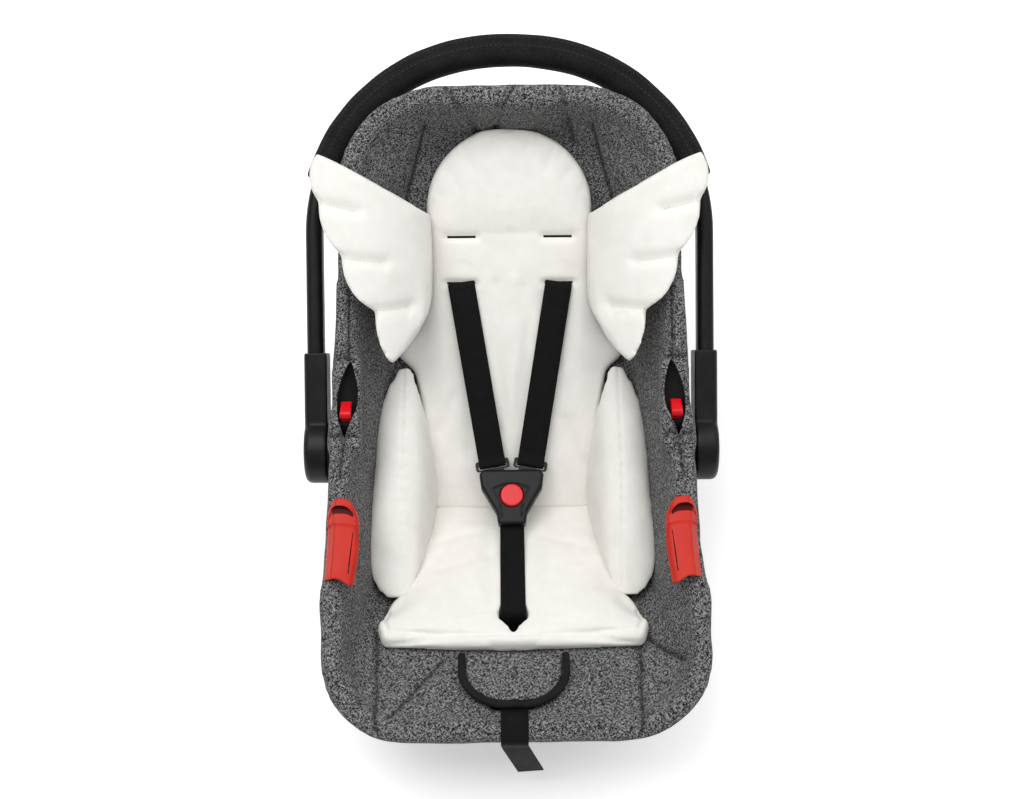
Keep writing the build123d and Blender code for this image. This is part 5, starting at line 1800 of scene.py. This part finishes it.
@dataclass
class BeltGuide:
    """Red hook over the front side rim: a hood, a half-round body and a slotted lip."""

    side: Side
    voxel: float = 1.2 * MM
    outer: Point2 = (0.1965, -0.0445)
    inner: Point2 = (0.1583, -0.0521)
    inset: float = 7 * MM
    inset_lift: Point2 = (-0.05, -0.01)
    inset_across: Point2 = (-0.2, 0.9)
    spread: float = 3 * MM
    spread_across: Point2 = (0.3, 1.0)
    belly_start: float = -0.157
    belly_long: float = 0.085
    apex: float = 9 * MM
    drop: float = 14.5 * MM
    hood_s: Point2 = (-0.105, -0.076)
    hood_behind: float = -0.083
    heel: float = 10 * MM
    heel_skew: float = 7 * MM
    heel_s: Point2 = (-0.152, -0.125)
    heel_across: Point2 = (0.2, 1.0)
    body_top: float = 24 * MM
    crown: float = 2.5 * MM
    crown_lift: Point2 = (0.010, 0.020)
    shoulder: float = 7 * MM
    shoulder_across: Point2 = (0.4, 1.0)
    recess_at: Point2 = (0.1792, -0.0732)
    recess_half: float = 14 * MM
    recess_wide: float = 8 * MM
    recess_floor: float = 24 * MM
    slot_ends: tuple[Point2, Point2] = ((0.1648, -0.1010), (0.1690, -0.1440))
    slot_half: float = 0.7 * MM
    slot_floor: float = 20 * MM
    steps: int = 16

    def across(self, tub: np.ndarray) -> np.ndarray:
        """Place across the guide.

        Args:
            tub: bucket coordinates of its points.

        Returns:
            -1 at the inner lip to 1 at the outer side.
        """
        low = self.inner[0] + self.inner[1] * tub[:, 1]
        high = self.outer[0] + self.outer[1] * tub[:, 1]
        return np.clip((2 * np.abs(tub[:, 0]) - low - high) / (high - low), -1, 1)

    def shape(self, form: SoftForm) -> None:
        """Round the hood, draw the sides in and crown the body.

        Args:
            form: the guide.
        """
        tub = SEAT.to_tub(form.points)
        place, s, lift = self.across(tub), tub[:, 1], tub[:, 2] - SEAT.rim(tub[:, 1])
        along = smooth_step(s, *self.hood_s) * (self.apex - self.drop * np.abs(place) ** 4)
        heel = self.heel - self.heel_skew * smooth_step(-place, *self.heel_across)
        along += (1 - smooth_step(s, *self.heel_s)) * heel
        middle = np.sin(np.pi * np.clip((s - self.belly_start) / self.belly_long, 0, 1))
        inward = smooth_step(lift, *self.inset_lift) * self.inset * smooth_step(place, *self.inset_across)
        inward += self.spread * smooth_step(-place, *self.spread_across) * middle
        arch = self.crown * (1 - place**2)
        limit = self.body_top + arch - self.shoulder * smooth_step(place, *self.shoulder_across)
        raised = lift + arch * smooth_step(lift, *self.crown_lift)
        raised = np.where(s < self.hood_behind, np.minimum(raised, limit), raised)
        moved = form.points + np.outer(along, np.array(SEAT.axis_s))
        moved += np.outer(raised - lift, np.array(SEAT.axis_h))
        moved[:, 0] -= self.side.sign * inward
        form.points = moved

    def recess(self) -> list[Point2]:
        """Crescent between the hood and the body.

        Returns:
            Its outline.
        """
        x, s = self.recess_at
        turns = [2 * k / self.steps - 1 for k in range(self.steps + 1)]
        above = [(x + self.recess_half * t, s - self.recess_wide * abs(t) ** 2.5) for t in turns]
        below = [(x + self.recess_half * t, s - self.recess_wide * (1 + 0.5 * abs(t) ** 3)) for t in turns]
        return above + below[::-1]

    def slot(self) -> list[Point2]:
        """Narrow slot beside the lip.

        Returns:
            Its outline.
        """
        (x0, s0), (x1, s1) = self.slot_ends
        return [(x0, s0), (x0 + self.slot_half, s0), (x1 + self.slot_half, s1), (x1 - self.slot_half, s1)]

    def dress(self) -> bpy.types.Object:
        """Build the guide.

        Returns:
            The object.
        """
        word = self.side.word
        form = SoftForm(f"belt_hook_{word}", [f"belt_guide_{word}"], self.voxel)
        form.smooth(4)
        self.shape(form)
        form.smooth(6)
        form.obj.data.materials.append(WARDROBE.get(GUIDE_PLASTIC))
        # the recess and the slot take the darker red, painted shade inside them
        form.cut(plan_block(self.recess(), self.recess_floor, self.side, GUIDE_SHADE))
        form.cut(plan_block(self.slot(), self.slot_floor, self.side, GUIDE_SHADE))
        return form.dress(None, Body.BASE, "guide_plastic", 0.0, 0)


@dataclass
class Buckle:
    """Two halves of the buckle, with a shield-shaped line around the button."""

    voxel: float = 0.9 * MM
    middle: tuple[float, float, float] = (0, -22.838 * MM, 95.749 * MM)
    rise: float = math.radians(13.604)
    arc_top: float = 12.8 * MM
    arc_half: float = 20 * MM
    arc_drop: float = 5.5 * MM
    waist: Point2 = (12.5 * MM, -8 * MM)
    foot: Point2 = (11 * MM, -24 * MM)
    line_half: float = 0.9 * MM
    line_deep: float = 0.9 * MM

    @property
    def plate(self) -> Plate:
        """Plane of the buckle, with y towards the head."""
        along = Vector((0, math.cos(self.rise), math.sin(self.rise)))
        return Plate(Vector(self.middle) + Vector((0, SEAT.hub_y, 0)), along, Vector((0, -along.z, along.y)))

    def shield(self) -> list[Point2]:
        """Line around the button.

        Returns:
            Its points on the buckle's plane.
        """
        turns = [k / 12 - 1 for k in range(25)]
        arc = [(self.arc_half * t, self.arc_top - self.arc_drop * t * t) for t in turns]
        flank = [self.waist, self.foot]
        return [(-x, y) for x, y in reversed(flank)] + arc + flank

    def dress(self) -> None:
        """Build both halves."""
        back = SoftForm("buckle_back_half", ["buckle_back"], self.voxel)
        back.smooth(4)
        back.dress(BLACK_PLASTIC, Body.BASE, "black_plastic", 0.0, 0)
        front = SoftForm("buckle_front_half", ["buckle_front"], self.voxel)
        front.smooth(4)
        away = polyline_distance(self.plate.local(front.points)[:, :2], self.shield())
        facing = smooth_step(front.normals @ np.array(self.plate.normal), 0.5, 0.8)
        front.groove(away, self.line_half, self.line_deep, facing)
        front.dress(BLACK_PLASTIC, Body.BASE, "black_plastic", 0.0, 0)


@dataclass
class Sockets:
    """Sockets of the handle's legs, with rounded edges."""

    voxel: float = 1.8 * MM
    rounds: int = 4

    def dress(self) -> None:
        """Build the socket of each side."""
        for side in Side:
            node = f"handle_socket_{side.word}"
            form = SoftForm(f"{node}_rounded", [node], self.voxel)
            form.smooth(self.rounds)
            form.dress(HANDLE_PLASTIC, Body.HANDLE, "handle_plastic", 0.0, 0)


@dataclass
class Fittings:
    """Solids whose shape is right as they are, with their finishes."""

    finishes: dict[str, object] = field(
        default_factory=lambda: {
            "shell_plastic": SHELL_PLASTIC, "black_plastic": BLACK_PLASTIC, "handle_plastic": HANDLE_PLASTIC,
            "red_plastic": RED_PLASTIC, "guide_plastic": GUIDE_PLASTIC, "gear_plastic": GEAR_PLASTIC,
            "steel": STEEL, "webbing": WEBBING, "binding_tape": BINDING_TAPE,
            "sleeve_fabric": SLEEVE_CLOTH, "cover_fabric": COVER_CLOTH, "insert_fabric": INSERT_CLOTH,
        }
    )

    def dress(self) -> None:
        """Give every node of the frame the finish of its slot."""
        for entry in frame["record"]["subparts"]:
            node = frame["nodes"][entry["node"]]
            for slot in node.material_slots:
                slot.material = WARDROBE.get(self.finishes[entry["material_slot"]])
            LOG.info("finished %s", entry["node"])


@dataclass
class Studio:
    """Floor, light and camera."""

    eye: tuple[float, float, float] = (0.0005, -0.8034, 1.6711)
    pitch: float = math.radians(30)
    yaw: float = math.radians(0.6)
    lens: float = 55.0
    floor_half: float = 6.0
    floor_gap: float = 0.5 * MM
    floor_glow: float = 0.34
    sky: float = 0.52
    aim: tuple[float, float, float] = (0, 0, 0.2)
    lamps: Sequence[tuple[str, tuple[float, float, float], float, float]] = (
        ("key", (-0.8, 0.1, 2.7), 1.8, 41.0),
        ("fill", (1.1, 0.25, 2.4), 2.2, 20.5),
    )

    def build(self) -> None:
        """Make the whole set."""
        self.floor()
        self.light()
        self.camera()

    def floor(self) -> None:
        """Pale floor that the seat stands on."""
        work = bmesh.new()
        bmesh.ops.create_grid(work, x_segments=1, y_segments=1, size=self.floor_half)
        mesh = bpy.data.meshes.new("floor")
        work.to_mesh(mesh)
        work.free()
        floor = new_object("floor", mesh)
        floor.location.z = -self.floor_gap
        shade = Shade("studio_floor")
        grain = shade.noise(shade.place(), 40.0)
        colour = shade.mix(grain, (0.95, 0.95, 0.95), (0.98, 0.98, 0.98))
        seen = shade.node("ShaderNodeLightPath", out="Is Camera Ray")
        mirrored = shade.node("ShaderNodeLightPath", out="Is Glossy Ray")
        through = shade.node("ShaderNodeLightPath", out="Is Transmission Ray")
        glow = shade.mix(seen + mirrored + through, (0, 0, 0), (self.floor_glow,) * 3)
        finish = shade.close(
            Base_Color=colour, Roughness=0.8, Specular_IOR_Level=0.1,
            Emission_Color=glow, Emission_Strength=1.0,
        )
        floor.data.materials.append(finish)

    def light(self) -> None:
        """Even sky and two large soft lamps."""
        world = bpy.data.worlds.new("sky")
        bpy.context.scene.world = world
        world.use_nodes = True
        back = world.node_tree.nodes["Background"]
        back.inputs["Color"].default_value = (1, 1, 1, 1)
        back.inputs["Strength"].default_value = self.sky
        for name, spot, size, power in self.lamps:
            lamp = bpy.data.lights.new(name, "AREA")
            lamp.size = size
            lamp.energy = power
            made = bpy.data.objects.new(name, lamp)
            made.location = spot
            made.rotation_euler = (Vector(self.aim) - Vector(spot)).to_track_quat("-Z", "Y").to_euler()
            bpy.context.scene.collection.objects.link(made)

    def camera(self) -> None:
        """Camera at the photographed angle."""
        lens = bpy.data.cameras.new("camera")
        lens.lens = self.lens
        lens.sensor_width = 36.0
        eye = bpy.data.objects.new("camera", lens)
        turn = Matrix.Translation((0, SEAT.hub_y, 0)) @ Matrix.Rotation(-self.yaw, 4, "Z")
        eye.matrix_world = turn @ Matrix.Translation(self.eye) @ Matrix.Rotation(self.pitch, 4, "X")
        bpy.context.scene.collection.objects.link(eye)
        bpy.context.scene.camera = eye


def main() -> None:
    """Dress the whole seat."""
    logging.basicConfig(level=logging.INFO)
    scene = bpy.context.scene
    scene.view_settings.view_transform = "Standard"
    Studio().build()
    Fittings().dress()
    SeatCover().dress()
    InsertBack().dress()
    InsertSeat().dress()
    for side in Side:
        Bolster(side).dress()
        Wing(side).dress()
    Harness().dress()
    CoverFlap().dress()
    Sleeve().dress()
    for side in Side:
        BeltGuide(side).dress()
    Buckle().dress()
    Sockets().dress()


if __name__ == "__main__":
    main()
